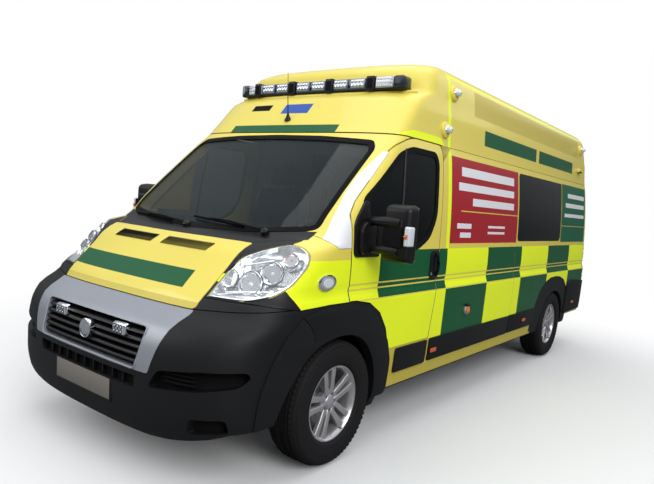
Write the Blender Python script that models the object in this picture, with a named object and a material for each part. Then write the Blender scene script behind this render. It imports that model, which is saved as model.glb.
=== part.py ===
import math

import bmesh
import bpy
from mathutils import Matrix, Vector

for old in list(bpy.data.objects):
    bpy.data.objects.remove(old, do_unlink=True)

# driving sizes, metres; built about the front axle, moved to the frame at the end
FRONT_OVERHANG = 0.985
WHEELBASE = 4.035
BODY_TAIL_OVERHANG = 1.200
STEP_DEPTH = 0.065
HALF_WIDTH = 1.022
BODY_HEIGHT = 2.60
CORNER_DEPTH = 0.50
TAIL_LEAN = 0.13
NOSE_POWER = 3.2
TAIL_CORNER = 0.10
TYRE_RADIUS = 0.365
TYRE_WIDTH = 0.225
RIM_RADIUS = 0.2205
FRONT_TRACK = 1.81
REAR_TRACK = 1.79

# walls and gaps
WALL = 0.055
DOOR_WALL = 0.055
BONNET_WALL = 0.030
GLASS_INSET = 0.004
GLASS_WALL = 0.006
TOUCH = 0.0003
SHUT = 0.0100
MOVE_GAP = 0.006
LAMP_WALL = 0.075
GRILLE_INSET = 0.012
GRILLE_WALL = 0.030

# counts
NOSE_STEPS = 8
TAIL_STEPS = 3
ROUND_STEPS = 24
WHEEL_STEPS = 40
TORUS_STEPS = 28
TORUS_SIDES = 8
SPOKES = 5
FAR = 3.0
HALF = 0.5
QUARTER_TURN = math.pi * HALF
FULL_TURN = math.pi + math.pi

# places derived from the driving sizes
NOSE_RUN_SHARE = 0.62454
NOSE_RUN = NOSE_RUN_SHARE * WHEELBASE
KINGPIN_IN = 0.105
KINGPIN_X = FRONT_TRACK * HALF - KINGPIN_IN
LENGTH = FRONT_OVERHANG + WHEELBASE + BODY_TAIL_OVERHANG + STEP_DEPTH
FRONT_AXLE_Y = FRONT_OVERHANG - LENGTH * HALF
TAIL_Y = WHEELBASE + BODY_TAIL_OVERHANG


# body splits
GUTTER_SHARE = 0.76538
GUTTER_Z = GUTTER_SHARE * BODY_HEIGHT
DOOR_TOP_SHARE = 0.76461
DOOR_TOP_Z = DOOR_TOP_SHARE * BODY_HEIGHT
DOOR_REAR_ALONG_SHARE = 0.28872
DOOR_REAR_Y = DOOR_REAR_ALONG_SHARE * WHEELBASE
SIDE_REACH = 0.12
SILL_SHARE = 0.16154
SILL_Z = SILL_SHARE * BODY_HEIGHT
SIDE_TAIL_IN = 0.19
SIDE_TAIL_Y = TAIL_Y - SIDE_TAIL_IN
WING_IN_ACROSS_SHARE = 0.58708
WING_IN_X = WING_IN_ACROSS_SHARE * HALF_WIDTH
REAR_DOOR_HALF_INSET = 0.117
REAR_DOOR_HALF = HALF_WIDTH - REAR_DOOR_HALF_INSET
REAR_DOOR_BOTTOM_SHARE = 0.20000
REAR_DOOR_BOTTOM_Z = REAR_DOOR_BOTTOM_SHARE * BODY_HEIGHT
REAR_DOOR_TOP_SHARE = 0.84616
REAR_DOOR_TOP_Z = REAR_DOOR_TOP_SHARE * BODY_HEIGHT
REAR_WINDOW_IN_X = 0.13
REAR_WINDOW_OUT_INSET = 0.242
REAR_WINDOW_OUT_X = HALF_WIDTH - REAR_WINDOW_OUT_INSET
REAR_WINDOW_LOW_SHARE = 0.52308
REAR_WINDOW_LOW_Z = REAR_WINDOW_LOW_SHARE * BODY_HEIGHT
REAR_WINDOW_TOP_SHARE = 0.75000
REAR_WINDOW_TOP_Z = REAR_WINDOW_TOP_SHARE * BODY_HEIGHT
LAMP_IN_INSET = 0.097
LAMP_IN_X = HALF_WIDTH - LAMP_IN_INSET
LAMP_LOW_SHARE = 0.33846
LAMP_LOW_Z = LAMP_LOW_SHARE * BODY_HEIGHT
LAMP_TOP_SHARE = 0.54616
LAMP_TOP_Z = LAMP_TOP_SHARE * BODY_HEIGHT
LAMP_FRONT_IN = 0.115
LAMP_FRONT_Y = TAIL_Y - LAMP_FRONT_IN
REAR_HINGE_OUT = 0.009
REAR_HINGE_BACK = 0.010
BARREL_RADIUS = 0.0075
BARREL_LONG = 0.028
REAR_BARREL_ZS = (0.78, 1.56)
REAR_LEAF_X = 0.034
REAR_LEAF_DEEP = 0.080
DOOR_HINGE_OUTSET = 0.004
DOOR_HINGE_X = HALF_WIDTH + DOOR_HINGE_OUTSET
DOOR_HINGE_ALONG_SHARE = 0.01078
DOOR_HINGE_Y = DOOR_HINGE_ALONG_SHARE * WHEELBASE
LEAF_BACK = 0.002
DOOR_BARREL_ZS = (1.06, 1.16)
DOOR_LEAF_IN_INSET = 0.037
DOOR_LEAF_IN_X = HALF_WIDTH - DOOR_LEAF_IN_INSET
DOOR_LEAF_LONG = 0.024
LEDGE_IN_ACROSS_SHARE = 0.58708
LEDGE_IN_X = LEDGE_IN_ACROSS_SHARE * HALF_WIDTH
LEDGE_OUT_ACROSS_SHARE = 0.65264
LEDGE_OUT_X = LEDGE_OUT_ACROSS_SHARE * HALF_WIDTH
LEDGE_FRONT_Y = -0.44
LEDGE_REAR_Y = -0.37
LEDGE_SKIN = 0.015
FRONT_PART_ALONG_SHARE = 0.14870
FRONT_PART_Y = FRONT_PART_ALONG_SHARE * WHEELBASE
LINE_GAP = 0.004
BONNET_HINGE_Y = -0.350
BONNET_HINGE_SHARE = 0.49039
BONNET_HINGE_Z = BONNET_HINGE_SHARE * BODY_HEIGHT

# floor, wheel housings, firewall
FLOOR_LOW_OVER_HUB = 0.12
FLOOR_LOW_Z = TYRE_RADIUS + FLOOR_LOW_OVER_HUB
FLOOR_TOP_OVER_HUB = 0.18
FLOOR_TOP_Z = TYRE_RADIUS + FLOOR_TOP_OVER_HUB
INSIDE_INSET = 0.084
INSIDE_X = HALF_WIDTH - INSIDE_INSET
CAB_INSIDE_INSET = 0.104
CAB_INSIDE_X = HALF_WIDTH - CAB_INSIDE_INSET
CAB_FLOOR_ALONG_SHARE = 0.12144
CAB_FLOOR_Y = CAB_FLOOR_ALONG_SHARE * WHEELBASE
FLOOR_END_IN = 0.13
FLOOR_END_Y = TAIL_Y - FLOOR_END_IN
LOAD_FLOOR_ALONG_SHARE = 0.28996
LOAD_FLOOR_Y = LOAD_FLOOR_ALONG_SHARE * WHEELBASE
HOUSING_IN_FROM_TRACK = 0.405
HOUSING_IN_X = FRONT_TRACK * HALF - HOUSING_IN_FROM_TRACK
HOUSING_SKIN = 0.03
HOUSING_FRONT_Y = -0.46
HOUSING_REAR_Y = 0.495
HOUSING_TOP_OVER_HUB = 0.487
HOUSING_TOP_Z = TYRE_RADIUS + HOUSING_TOP_OVER_HUB
REAR_HOUSING_IN_FROM_TRACK = 0.195
REAR_HOUSING_IN_X = REAR_TRACK * HALF - REAR_HOUSING_IN_FROM_TRACK
REAR_HOUSING_FRONT_ALONG_SHARE = 0.88724
REAR_HOUSING_FRONT_Y = REAR_HOUSING_FRONT_ALONG_SHARE * WHEELBASE
REAR_HOUSING_REAR_ALONG_SHARE = 1.11276
REAR_HOUSING_REAR_Y = REAR_HOUSING_REAR_ALONG_SHARE * WHEELBASE
REAR_HOUSING_TOP_OVER_HUB = 0.435
REAR_HOUSING_TOP_Z = TYRE_RADIUS + REAR_HOUSING_TOP_OVER_HUB
SILL_IN_INSET = 0.142
SILL_IN_X = HALF_WIDTH - SILL_IN_INSET
SILL_OUT_INSET = 0.037
SILL_OUT_X = HALF_WIDTH - SILL_OUT_INSET
SILL_LOW_SHARE = 0.12693
SILL_LOW_Z = SILL_LOW_SHARE * BODY_HEIGHT
SILL_FRONT_ALONG_SHARE = 0.13879
SILL_FRONT_Y = SILL_FRONT_ALONG_SHARE * WHEELBASE
SILL_REAR_ALONG_SHARE = 0.82776
SILL_REAR_Y = SILL_REAR_ALONG_SHARE * WHEELBASE
FIREWALL_Y = -0.10
FIREWALL_SKIN = 0.04
FIREWALL_HALF_ACROSS_SHARE = 0.84149
FIREWALL_HALF = FIREWALL_HALF_ACROSS_SHARE * HALF_WIDTH
COWL_FRONT_Y = -0.07
COWL_REAR_Y = 0.02
COWL_LOW_SHARE = 0.49423
COWL_LOW_Z = COWL_LOW_SHARE * BODY_HEIGHT
COWL_TOP_SHARE = 0.51346
COWL_TOP_Z = COWL_TOP_SHARE * BODY_HEIGHT
COWL_HALF_ACROSS_SHARE = 0.93933
COWL_HALF = COWL_HALF_ACROSS_SHARE * HALF_WIDTH

# bulkhead and fittings of the load space
BULKHEAD_ALONG_SHARE = 0.29740
BULKHEAD_Y = BULKHEAD_ALONG_SHARE * WHEELBASE
BULKHEAD_SKIN = 0.04
BULKHEAD_TOP_SHARE = 0.92308
BULKHEAD_TOP_Z = BULKHEAD_TOP_SHARE * BODY_HEIGHT
BULKHEAD_HOLE_HALF = 0.32
BULKHEAD_HOLE_LOW_SHARE = 0.23846
BULKHEAD_HOLE_LOW_Z = BULKHEAD_HOLE_LOW_SHARE * BODY_HEIGHT
BULKHEAD_HOLE_TOP_SHARE = 0.73077
BULKHEAD_HOLE_TOP_Z = BULKHEAD_HOLE_TOP_SHARE * BODY_HEIGHT
LOCKER_IN_INSET = 0.472
LOCKER_IN_X = HALF_WIDTH - LOCKER_IN_INSET
LOCKER_OUT_INSET = 0.092
LOCKER_OUT_X = HALF_WIDTH - LOCKER_OUT_INSET
LOCKER_FRONT_ALONG_SHARE = 0.33457
LOCKER_FRONT_Y = LOCKER_FRONT_ALONG_SHARE * WHEELBASE
LOCKER_REAR_ALONG_SHARE = 0.86741
LOCKER_REAR_Y = LOCKER_REAR_ALONG_SHARE * WHEELBASE
LOCKER_TOP_SHARE = 0.46923
LOCKER_TOP_Z = LOCKER_TOP_SHARE * BODY_HEIGHT
STRETCHER_HALF = 0.28
STRETCHER_FRONT_ALONG_SHARE = 0.57001
STRETCHER_FRONT_Y = STRETCHER_FRONT_ALONG_SHARE * WHEELBASE
STRETCHER_REAR_ALONG_SHARE = 1.06568
STRETCHER_REAR_Y = STRETCHER_REAR_ALONG_SHARE * WHEELBASE
STRETCHER_LOW_SHARE = 0.27692
STRETCHER_LOW_Z = STRETCHER_LOW_SHARE * BODY_HEIGHT
STRETCHER_TOP_SHARE = 0.33077
STRETCHER_TOP_Z = STRETCHER_TOP_SHARE * BODY_HEIGHT
STRETCHER_LEG_HALF = 0.20
STRETCHER_ROUND = 0.03

# seats and controls
SEAT_X = 0.50
SEAT_HALF = 0.25
SEAT_BASE_HALF = 0.20
SEAT_BASE_FRONT_ALONG_SHARE = 0.14374
SEAT_BASE_FRONT_Y = SEAT_BASE_FRONT_ALONG_SHARE * WHEELBASE
SEAT_BASE_REAR_ALONG_SHARE = 0.24287
SEAT_BASE_REAR_Y = SEAT_BASE_REAR_ALONG_SHARE * WHEELBASE
SEAT_TOP_SHARE = 0.61538
SEAT_TOP_Z = SEAT_TOP_SHARE * BODY_HEIGHT
HEADREST_HALF = 0.13
HEADREST_FRONT_ALONG_SHARE = 0.25527
HEADREST_FRONT_Y = HEADREST_FRONT_ALONG_SHARE * WHEELBASE
HEADREST_REAR_ALONG_SHARE = 0.28005
HEADREST_REAR_Y = HEADREST_REAR_ALONG_SHARE * WHEELBASE
HEADREST_TOP_SHARE = 0.67692
HEADREST_TOP_Z = HEADREST_TOP_SHARE * BODY_HEIGHT
HEADREST_ROUND = 0.03
HEADREST_SINK = 0.04
DASH_HALF = 0.865
DASH_CLEAR = 0.012
WHEEL_CENTRE_Y = 0.47
WHEEL_CENTRE_SHARE = 0.47116
WHEEL_CENTRE_Z = WHEEL_CENTRE_SHARE * BODY_HEIGHT
STEERING_RADIUS = 0.195
STEERING_BAR = 0.015
STEERING_HUB = 0.055
STEERING_HUB_LONG = 0.05
STEERING_SPOKE = 0.012
COLUMN_RADIUS = 0.032
COLUMN_LONG = 0.26
COLUMN_TILT = math.radians(38)

# mirrors
MIRROR_HEAD_IN_OUTSET = 0.053
MIRROR_HEAD_IN_X = HALF_WIDTH + MIRROR_HEAD_IN_OUTSET
MIRROR_HEAD_OUT_OUTSET = 0.278
MIRROR_HEAD_OUT_X = HALF_WIDTH + MIRROR_HEAD_OUT_OUTSET
MIRROR_HEAD_FRONT_ALONG_SHARE = 0.04213
MIRROR_HEAD_FRONT_Y = MIRROR_HEAD_FRONT_ALONG_SHARE * WHEELBASE
MIRROR_HEAD_REAR_ALONG_SHARE = 0.06939
MIRROR_HEAD_REAR_Y = MIRROR_HEAD_REAR_ALONG_SHARE * WHEELBASE
MIRROR_HEAD_LOW_SHARE = 0.45769
MIRROR_HEAD_LOW_Z = MIRROR_HEAD_LOW_SHARE * BODY_HEIGHT
MIRROR_HEAD_TOP_SHARE = 0.59424
MIRROR_HEAD_TOP_Z = MIRROR_HEAD_TOP_SHARE * BODY_HEIGHT
MIRROR_HEAD_ROUND = 0.035
MIRROR_ARM_RADIUS = 0.022
MIRROR_ARM_LOW_SHARE = 0.50769
MIRROR_ARM_LOW_Z = MIRROR_ARM_LOW_SHARE * BODY_HEIGHT
MIRROR_ARM_TOP_SHARE = 0.55385
MIRROR_ARM_TOP_Z = MIRROR_ARM_TOP_SHARE * BODY_HEIGHT
MIRROR_ARM_ALONG_SHARE = 0.04957
MIRROR_ARM_Y = MIRROR_ARM_ALONG_SHARE * WHEELBASE
MIRROR_BASE_FRONT_ALONG_SHARE = 0.02850
MIRROR_BASE_FRONT_Y = MIRROR_BASE_FRONT_ALONG_SHARE * WHEELBASE
MIRROR_BASE_REAR_ALONG_SHARE = 0.07063
MIRROR_BASE_REAR_Y = MIRROR_BASE_REAR_ALONG_SHARE * WHEELBASE
MIRROR_BASE_LOW_SHARE = 0.47500
MIRROR_BASE_LOW_Z = MIRROR_BASE_LOW_SHARE * BODY_HEIGHT
MIRROR_BASE_TOP_SHARE = 0.57693
MIRROR_BASE_TOP_Z = MIRROR_BASE_TOP_SHARE * BODY_HEIGHT
MIRROR_BASE_IN_INSET = 0.082
MIRROR_BASE_IN_X = HALF_WIDTH - MIRROR_BASE_IN_INSET
MIRROR_BASE_OUT_INSET = 0.002
MIRROR_BASE_OUT_X = HALF_WIDTH - MIRROR_BASE_OUT_INSET

# light bar and rear step
BAR_HALF = 0.781
BAR_FRONT_ALONG_SHARE = 0.19455
BAR_FRONT_Y = BAR_FRONT_ALONG_SHARE * WHEELBASE
BAR_REAR_ALONG_SHARE = 0.23544
BAR_REAR_Y = BAR_REAR_ALONG_SHARE * WHEELBASE
BAR_LOW_SHARE = 0.89423
BAR_LOW_Z = BAR_LOW_SHARE * BODY_HEIGHT
BAR_TOP_SHARE = 0.93538
BAR_TOP_Z = BAR_TOP_SHARE * BODY_HEIGHT
BAR_ROUND = 0.012
STEP_HALF = 0.60
STEP_LOW_Z = 0.375
STEP_TOP_Z = 0.43
STEP_FRONT_IN = 0.075
STEP_FRONT_Y = TAIL_Y - STEP_FRONT_IN
STEP_ARM_X = 0.45
STEP_ARM_HALF = 0.03
STEP_ARM_IN = 0.23
STEP_ARM_Y = TAIL_Y - STEP_ARM_IN
STEP_ARM_TOP_Z = FLOOR_LOW_Z - TOUCH

# running gear
HUB_RADIUS = 0.062
HUB_OUT = 0.020
HUB_FACE_X = FRONT_TRACK * HALF + HUB_OUT
REAR_HUB_FACE_X = REAR_TRACK * HALF + HUB_OUT
HUB_IN_FROM_TRACK = 0.12
HUB_IN_X = FRONT_TRACK * HALF - HUB_IN_FROM_TRACK
DISC_RADIUS = 0.118
DISC_IN_FROM_TRACK = 0.06
DISC_IN_X = FRONT_TRACK * HALF - DISC_IN_FROM_TRACK
DISC_OUT_FROM_TRACK = 0.035
DISC_OUT_X = FRONT_TRACK * HALF - DISC_OUT_FROM_TRACK
UPRIGHT_IN_FROM_TRACK = 0.17
UPRIGHT_IN_X = FRONT_TRACK * HALF - UPRIGHT_IN_FROM_TRACK
UPRIGHT_OUT_FROM_TRACK = 0.123
UPRIGHT_OUT_X = FRONT_TRACK * HALF - UPRIGHT_OUT_FROM_TRACK
UPRIGHT_HALF = 0.045
UPRIGHT_LOW_Z = 0.30
UPRIGHT_TOP_Z = 0.80
YOKE_LOW_Z = 0.752
STRUT_RADIUS = 0.045
STRUT_TOP_Z = HOUSING_TOP_Z - HOUSING_SKIN - TOUCH
BALL_RADIUS = 0.028
BALL_LOW_Z = 0.2403
ARM_LOW_Z = 0.205
ARM_TOP_Z = 0.240
ARM_OUT_FROM_TRACK = 0.093
ARM_OUT_X = FRONT_TRACK * HALF - ARM_OUT_FROM_TRACK
ARM_HALF = 0.04
SUBFRAME_HALF = 0.46
SUBFRAME_Y = 0.34
SUBFRAME_LOW_Z = 0.19
SUBFRAME_TOP_Z = 0.26
SUBFRAME_HOLE_HALF = 0.32
SUBFRAME_HOLE_Y = 0.22
SUBFRAME_POST_HALF = 0.05
AXLE_BAR_RADIUS = 0.036
AXLE_FLANGE_RADIUS = 0.11
AXLE_FLANGE_LONG = 0.03
SPRING_FROM_TRACK = 0.365
SPRING_X = REAR_TRACK * HALF - SPRING_FROM_TRACK
SPRING_HALF = 0.03
SPRING_FRONT_ALONG_SHARE = 0.84263
SPRING_FRONT_Y = SPRING_FRONT_ALONG_SHARE * WHEELBASE
SPRING_REAR_ALONG_SHARE = 1.15737
SPRING_REAR_Y = SPRING_REAR_ALONG_SHARE * WHEELBASE
SPRING_LOW_Z = 0.315
SPRING_TOP_Z = 0.345
SHACKLE_LONG = 0.05
ENGINE_LEFT_X = 0.42
ENGINE_RIGHT_X = -0.40
ENGINE_FRONT_Y = -0.68
ENGINE_REAR_Y = -0.17
ENGINE_LOW_Z = SUBFRAME_TOP_Z + TOUCH
ENGINE_TOP_SHARE = 0.33846
ENGINE_TOP_Z = ENGINE_TOP_SHARE * BODY_HEIGHT
PIPE_RADIUS = 0.032
PIPE_X = -0.25
PIPE_Z = 0.36
PIPE_FRONT_ALONG_SHARE = 0.07435
PIPE_FRONT_Y = PIPE_FRONT_ALONG_SHARE * WHEELBASE
PIPE_REAR_ALONG_SHARE = 0.68154
PIPE_REAR_Y = PIPE_REAR_ALONG_SHARE * WHEELBASE
MUFFLER_RADIUS = 0.09
MUFFLER_FRONT_ALONG_SHARE = 0.38414
MUFFLER_FRONT_Y = MUFFLER_FRONT_ALONG_SHARE * WHEELBASE
MUFFLER_REAR_ALONG_SHARE = 0.53284
MUFFLER_REAR_Y = MUFFLER_REAR_ALONG_SHARE * WHEELBASE

# wheels
RIM_SKIN = 0.012
RIM_HUB_RADIUS = 0.075
RIM_HUB_LONG = 0.045
RIM_HALF_WIDTH = 0.092
SPOKE_IN_RADIUS = 0.088
SPOKE_OUT_RADIUS = 0.195
SPOKE_HALF = 0.016
SPOKE_SPREAD = 0.028
SPOKE_LONG = 0.030
TYRE_FLANK = 0.030
TYRE_CREST = 0.010
TYRE_BEAD_HALF = 0.098
# hull slices: height share, half width share, nose set-back share, corner depth share, tail lean share
HULL_SHARES = (
    (0.0923, 0.9344, 0.0357, 0.8400, 0.0000),
    (0.1269, 0.9638, 0.0119, 0.9200, 0.0000),
    (0.1731, 0.9785, 0.0020, 0.9600, 0.0000),
    (0.2385, 0.9883, 0.0000, 1.0000, 0.0000),
    (0.2808, 0.9912, 0.0052, 1.0000, 0.0000),
    (0.3192, 0.9941, 0.0238, 0.9800, 0.0000),
    (0.3577, 0.9961, 0.0813, 0.9200, 0.0000),
    (0.3673, 0.9961, 0.0873, 0.9000, 0.0000),
    (0.3923, 0.9765, 0.1111, 0.9000, 0.0028),
    (0.4038, 0.9824, 0.1222, 0.9000, 0.0071),
    (0.4346, 0.9843, 0.1528, 0.8800, 0.0185),
    (0.4635, 0.9824, 0.1806, 0.8600, 0.0292),
    (0.4854, 0.9785, 0.2202, 0.8000, 0.0373),
    (0.4962, 0.9765, 0.2738, 0.7200, 0.0446),
    (0.5577, 0.9706, 0.3448, 0.6000, 0.0934),
    (0.6154, 0.9618, 0.4095, 0.5200, 0.1392),
    (0.6846, 0.9452, 0.4873, 0.4800, 0.1941),
    (0.7481, 0.9247, 0.5607, 0.4400, 0.2654),
    (0.7558, 0.9198, 0.5694, 0.4400, 0.2808),
    (0.8077, 0.9061, 0.6151, 0.4400, 0.3846),
    (0.8577, 0.8982, 0.6587, 0.4400, 0.5262),
    (0.8692, 0.8924, 0.6687, 0.4400, 0.5908),
    (0.8846, 0.8885, 0.6944, 0.4400, 0.6769),
    (0.8981, 0.8845, 0.7321, 0.4400, 0.7523),
    (0.9346, 0.8748, 0.7421, 0.4800, 0.9569),
    (0.9500, 0.8669, 0.7460, 0.5000, 1.0699),
    (0.9692, 0.8434, 0.7599, 0.5000, 1.2448),
    (0.9846, 0.8023, 0.7917, 0.5000, 1.3846),
    (0.9923, 0.7534, 0.8274, 0.5000, 1.5000),
    (0.9981, 0.6654, 0.8869, 0.5000, 1.5865),
    (1.0000, 0.4697, 0.9861, 0.5000, 1.6154),
)
# front door outline: share of wheelbase behind the front axle, share of height
DOOR_SHARES = (
    (0.0991, 0.1615), (0.2632, 0.1615), (0.2664, 0.2308), (0.2793, 0.3846),
    (0.2828, 0.4808), (0.2875, 0.6731), (0.2875, 0.7423), (0.2800, 0.7635),
    (0.1859, 0.7635), (0.1638, 0.7558), (0.1301, 0.7346), (0.0758, 0.6712),
    (0.0600, 0.6462), (0.0186, 0.5885), (0.0124, 0.5577), (0.0124, 0.3269),
)
# front door window, same shares
DOOR_WINDOW_SHARES = (
    (0.0322, 0.4904), (0.2032, 0.4865), (0.2429, 0.5154), (0.2639, 0.5692),
    (0.2689, 0.7115), (0.2602, 0.7346), (0.1784, 0.7346), (0.1388, 0.7135),
    (0.0818, 0.6404), (0.0421, 0.5923),
)
# bumper and front flare outline, same shares
BUMPER_SHARES = (
    (-0.2974, 0.0577), (0.1165, 0.0577), (0.1219, 0.1312), (0.1269, 0.1600),
    (0.1314, 0.2354), (0.1177, 0.2885), (0.0952, 0.3308), (0.0644, 0.3577),
    (0.0273, 0.3673), (-0.0372, 0.3673), (-0.0991, 0.3642), (-0.1537, 0.3762),
    (-0.2974, 0.3762),
)
# front wheel opening: share of the tyre radius behind the axle, share of the tyre radius up
FRONT_ARCH_SHARES = (
    (-1.5342, 0.0000), (-1.4658, 0.6849), (-1.3973, 0.9863), (-1.2329, 1.3699),
    (-0.8877, 1.8411), (-0.4932, 2.0411), (0.0000, 2.1151), (0.4110, 2.0603),
    (0.7397, 1.8767), (0.9863, 1.5616), (1.1233, 1.1781), (1.1507, 0.8219),
    (1.1507, 0.0000),
)
# front wing outline, same shares
WING_SHARES = (
    (-0.1983, 0.3462), (0.0496, 0.3462), (0.0116, 0.3846), (0.0116, 0.4854),
    (-0.0198, 0.4854), (-0.0471, 0.5231), (-0.1983, 0.5231),
)
# windscreen pillar outline, same shares
PILLAR_SHARES = (
    (-0.0347, 0.4827), (0.0991, 0.4827), (0.3222, 0.7631), (0.0743, 0.7631),
    (-0.0595, 0.5269), (-0.0595, 0.5000),
)
# headlight seen from the side, same shares
HEADLIGHT_SIDE_SHARES = (
    (-0.2230, 0.3788), (-0.1537, 0.3808), (-0.1289, 0.3923), (-0.1041, 0.4135),
    (-0.0793, 0.4481), (-0.0711, 0.4712), (-0.0711, 0.5038), (-0.2230, 0.5038),
)
# rear flare outline, same shares
REAR_FLARE_SHARES = (
    (0.8287, 0.1269), (0.8352, 0.1923), (0.8525, 0.2538), (0.8798, 0.3038),
    (0.9170, 0.3327), (0.9566, 0.3462), (0.9988, 0.3481), (1.0384, 0.3442),
    (1.0830, 0.3262), (1.1252, 0.2769), (1.1400, 0.2115), (1.1450, 0.1269),
)
# rear wheel opening, same shares of the tyre radius
REAR_ARCH_SHARES = (
    (-1.1507, 0.0000), (-1.1918, 0.9863), (-1.0822, 1.4247), (-0.8082, 1.7808),
    (-0.4247, 1.9863), (0.0000, 2.0411), (0.4247, 1.9863), (0.8082, 1.7808),
    (1.0822, 1.4247), (1.1918, 0.9863), (1.1507, 0.0000),
)
# side window behind the cab, same shares
SIDE_WINDOW_SHARES = (
    (0.6853, 0.5000), (1.0112, 0.5000), (1.0173, 0.5115), (1.0173, 0.7327),
    (1.0112, 0.7423), (0.6853, 0.7423), (0.6791, 0.7327), (0.6791, 0.5115),
)
# sliding door outline, same shares
SLIDING_DOOR_SHARES = (
    (0.3024, 0.1692), (0.6097, 0.1692), (0.6097, 0.7519), (0.3024, 0.7519),
)
# sliding door window, same shares
SLIDING_WINDOW_SHARES = (
    (0.3470, 0.5038), (0.5750, 0.5038), (0.5750, 0.7231), (0.3470, 0.7231),
)
# dashboard profile, same shares
DASH_SHARES = (
    (-0.0322, 0.3923), (0.0446, 0.3308), (0.0843, 0.3462), (0.0991, 0.4000),
    (0.0991, 0.4462), (0.0818, 0.4808), (0.0297, 0.4904), (-0.0322, 0.4885),
)
# seat side profile, same shares
SEAT_SHARES = (
    (0.1264, 0.3308), (0.1388, 0.3077), (0.2528, 0.3077), (0.2627, 0.3769),
    (0.2776, 0.5462), (0.2800, 0.6154), (0.2627, 0.6154), (0.2404, 0.5615),
    (0.2255, 0.4077), (0.1437, 0.4000), (0.1239, 0.3769),
)
# bonnet from above: share of the half width, share of wheelbase behind the axle
BONNET_PLAN_SHARES = (
    (-0.7339, -0.2974), (0.7339, -0.2974), (0.7339, -0.0971), (0.6311, -0.0996),
    (0.4403, -0.1043), (0.1957, -0.1068), (0.0000, -0.1073), (-0.1957, -0.1068),
    (-0.4403, -0.1043), (-0.6311, -0.0996), (-0.7339, -0.0971),
)
# headlight seen from the front: share of the half width, share of height
HEADLIGHT_FRONT_SHARES = (
    (0.6311, 0.3731), (1.1742, 0.3731), (1.1742, 0.5008), (0.8806, 0.5008),
    (0.7632, 0.4808), (0.6654, 0.4577), (0.6409, 0.4231),
)
# bonnet from the front, same shares
BONNET_SHARES = (
    (-0.6067, 0.3546), (0.6067, 0.3546), (0.6311, 0.4842), (0.6409, 0.5385),
    (-0.6409, 0.5385), (-0.6311, 0.4842),
)
# grille surround, same shares
SURROUND_SHARES = (
    (-0.5333, 0.2331), (0.5333, 0.2331), (0.5871, 0.3077), (0.6145, 0.3462),
    (0.6145, 0.3525), (-0.6145, 0.3525), (-0.6145, 0.3462), (-0.5871, 0.3077),
)
# grille opening, same shares
GRILLE_SHARES = (
    (-0.4452, 0.2392), (0.4452, 0.2392), (0.4746, 0.3192), (-0.4746, 0.3192),
)
# panel under the windscreen, same shares
SCUTTLE_SHARES = (
    (0.0000, 0.4615), (0.6350, 0.4615), (0.6350, 0.4871), (0.6849, 0.4904),
    (0.8415, 0.5000), (0.8513, 0.5173), (0.7828, 0.5154), (0.4892, 0.5019),
    (0.0000, 0.4954), (-0.4892, 0.5019), (-0.7828, 0.5154), (-0.8513, 0.5173),
    (-0.8415, 0.5000), (-0.6849, 0.4904), (-0.6350, 0.4871), (-0.6350, 0.4615),
)
# windscreen, same shares
WINDSCREEN_SHARES = (
    (0.0000, 0.4956), (0.4892, 0.5022), (0.7828, 0.5156), (0.8493, 0.5238),
    (0.8297, 0.7231), (0.7828, 0.7442), (0.3914, 0.7531), (0.0000, 0.7558),
    (-0.3914, 0.7531), (-0.7828, 0.7442), (-0.8297, 0.7231), (-0.8493, 0.5238),
    (-0.7828, 0.5156), (-0.4892, 0.5022),
)


def mesh_object(name, points, faces):
    """A closed mesh object from points and faces, faces turned out."""
    mesh = bpy.data.meshes.new(name)
    mesh.from_pydata([tuple(p) for p in points], [], faces)
    shape = bmesh.new()
    shape.from_mesh(mesh)
    bmesh.ops.recalc_face_normals(shape, faces=shape.faces)
    shape.to_mesh(mesh)
    shape.free()
    thing = bpy.data.objects.new(name, mesh)
    bpy.context.scene.collection.objects.link(thing)
    return thing


def side_points(shares):
    """Side outline in metres: behind the front axle, up."""
    return [(y * WHEELBASE, z * BODY_HEIGHT) for y, z in shares]


def front_points(shares):
    """Front outline in metres: to the left, up."""
    return [(x * HALF_WIDTH, z * BODY_HEIGHT) for x, z in shares]


def grown(points, amount):
    """The outline moved outward by amount, corners mitred."""
    count = len(points)
    area = sum(points[i][0] * points[(i + 1) % count][1] - points[(i + 1) % count][0] * points[i][1]
               for i in range(count))
    turn = 1 if area > 0 else -1
    result = []
    for i in range(count):
        here = Vector(points[i])
        before = (here - Vector(points[i - 1])).normalized()
        after = (Vector(points[(i + 1) % count]) - here).normalized()
        normal_a = Vector((before.y, -before.x)) * turn
        normal_b = Vector((after.y, -after.x)) * turn
        both = normal_a + normal_b
        result.append(tuple(here + both * (amount / (1 + normal_a.dot(normal_b)))))
    return result


def prism(name, points, axis, low, high):
    """The outline pushed along X, Y or Z from low to high."""
    place = {
        "X": lambda a, b, h: (h, a, b),
        "Y": lambda a, b, h: (a, h, b),
        "Z": lambda a, b, h: (a, b, h),
    }[axis]
    count = len(points)
    verts = [place(a, b, low) for a, b in points] + [place(a, b, high) for a, b in points]
    faces = [list(range(count)), list(range(count, count + count))]
    for i in range(count):
        after = (i + 1) % count
        faces.append([i, after, count + after, count + i])
    return mesh_object(name, verts, faces)


def box(name, low, high):
    """A box between two corners."""
    x0, y0, z0 = low
    x1, y1, z1 = high
    return prism(name, [(x0, y0), (x1, y0), (x1, y1), (x0, y1)], "Z", z0, z1)


def rounded_box(name, low, high, radius):
    """A box with all its edges rounded once."""
    thing = box(name, low, high)
    shape = bmesh.new()
    shape.from_mesh(thing.data)
    bmesh.ops.bevel(shape, geom=list(shape.edges), offset=radius, segments=2, profile=HALF,
                    affect="EDGES")
    shape.to_mesh(thing.data)
    shape.free()
    return thing


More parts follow.
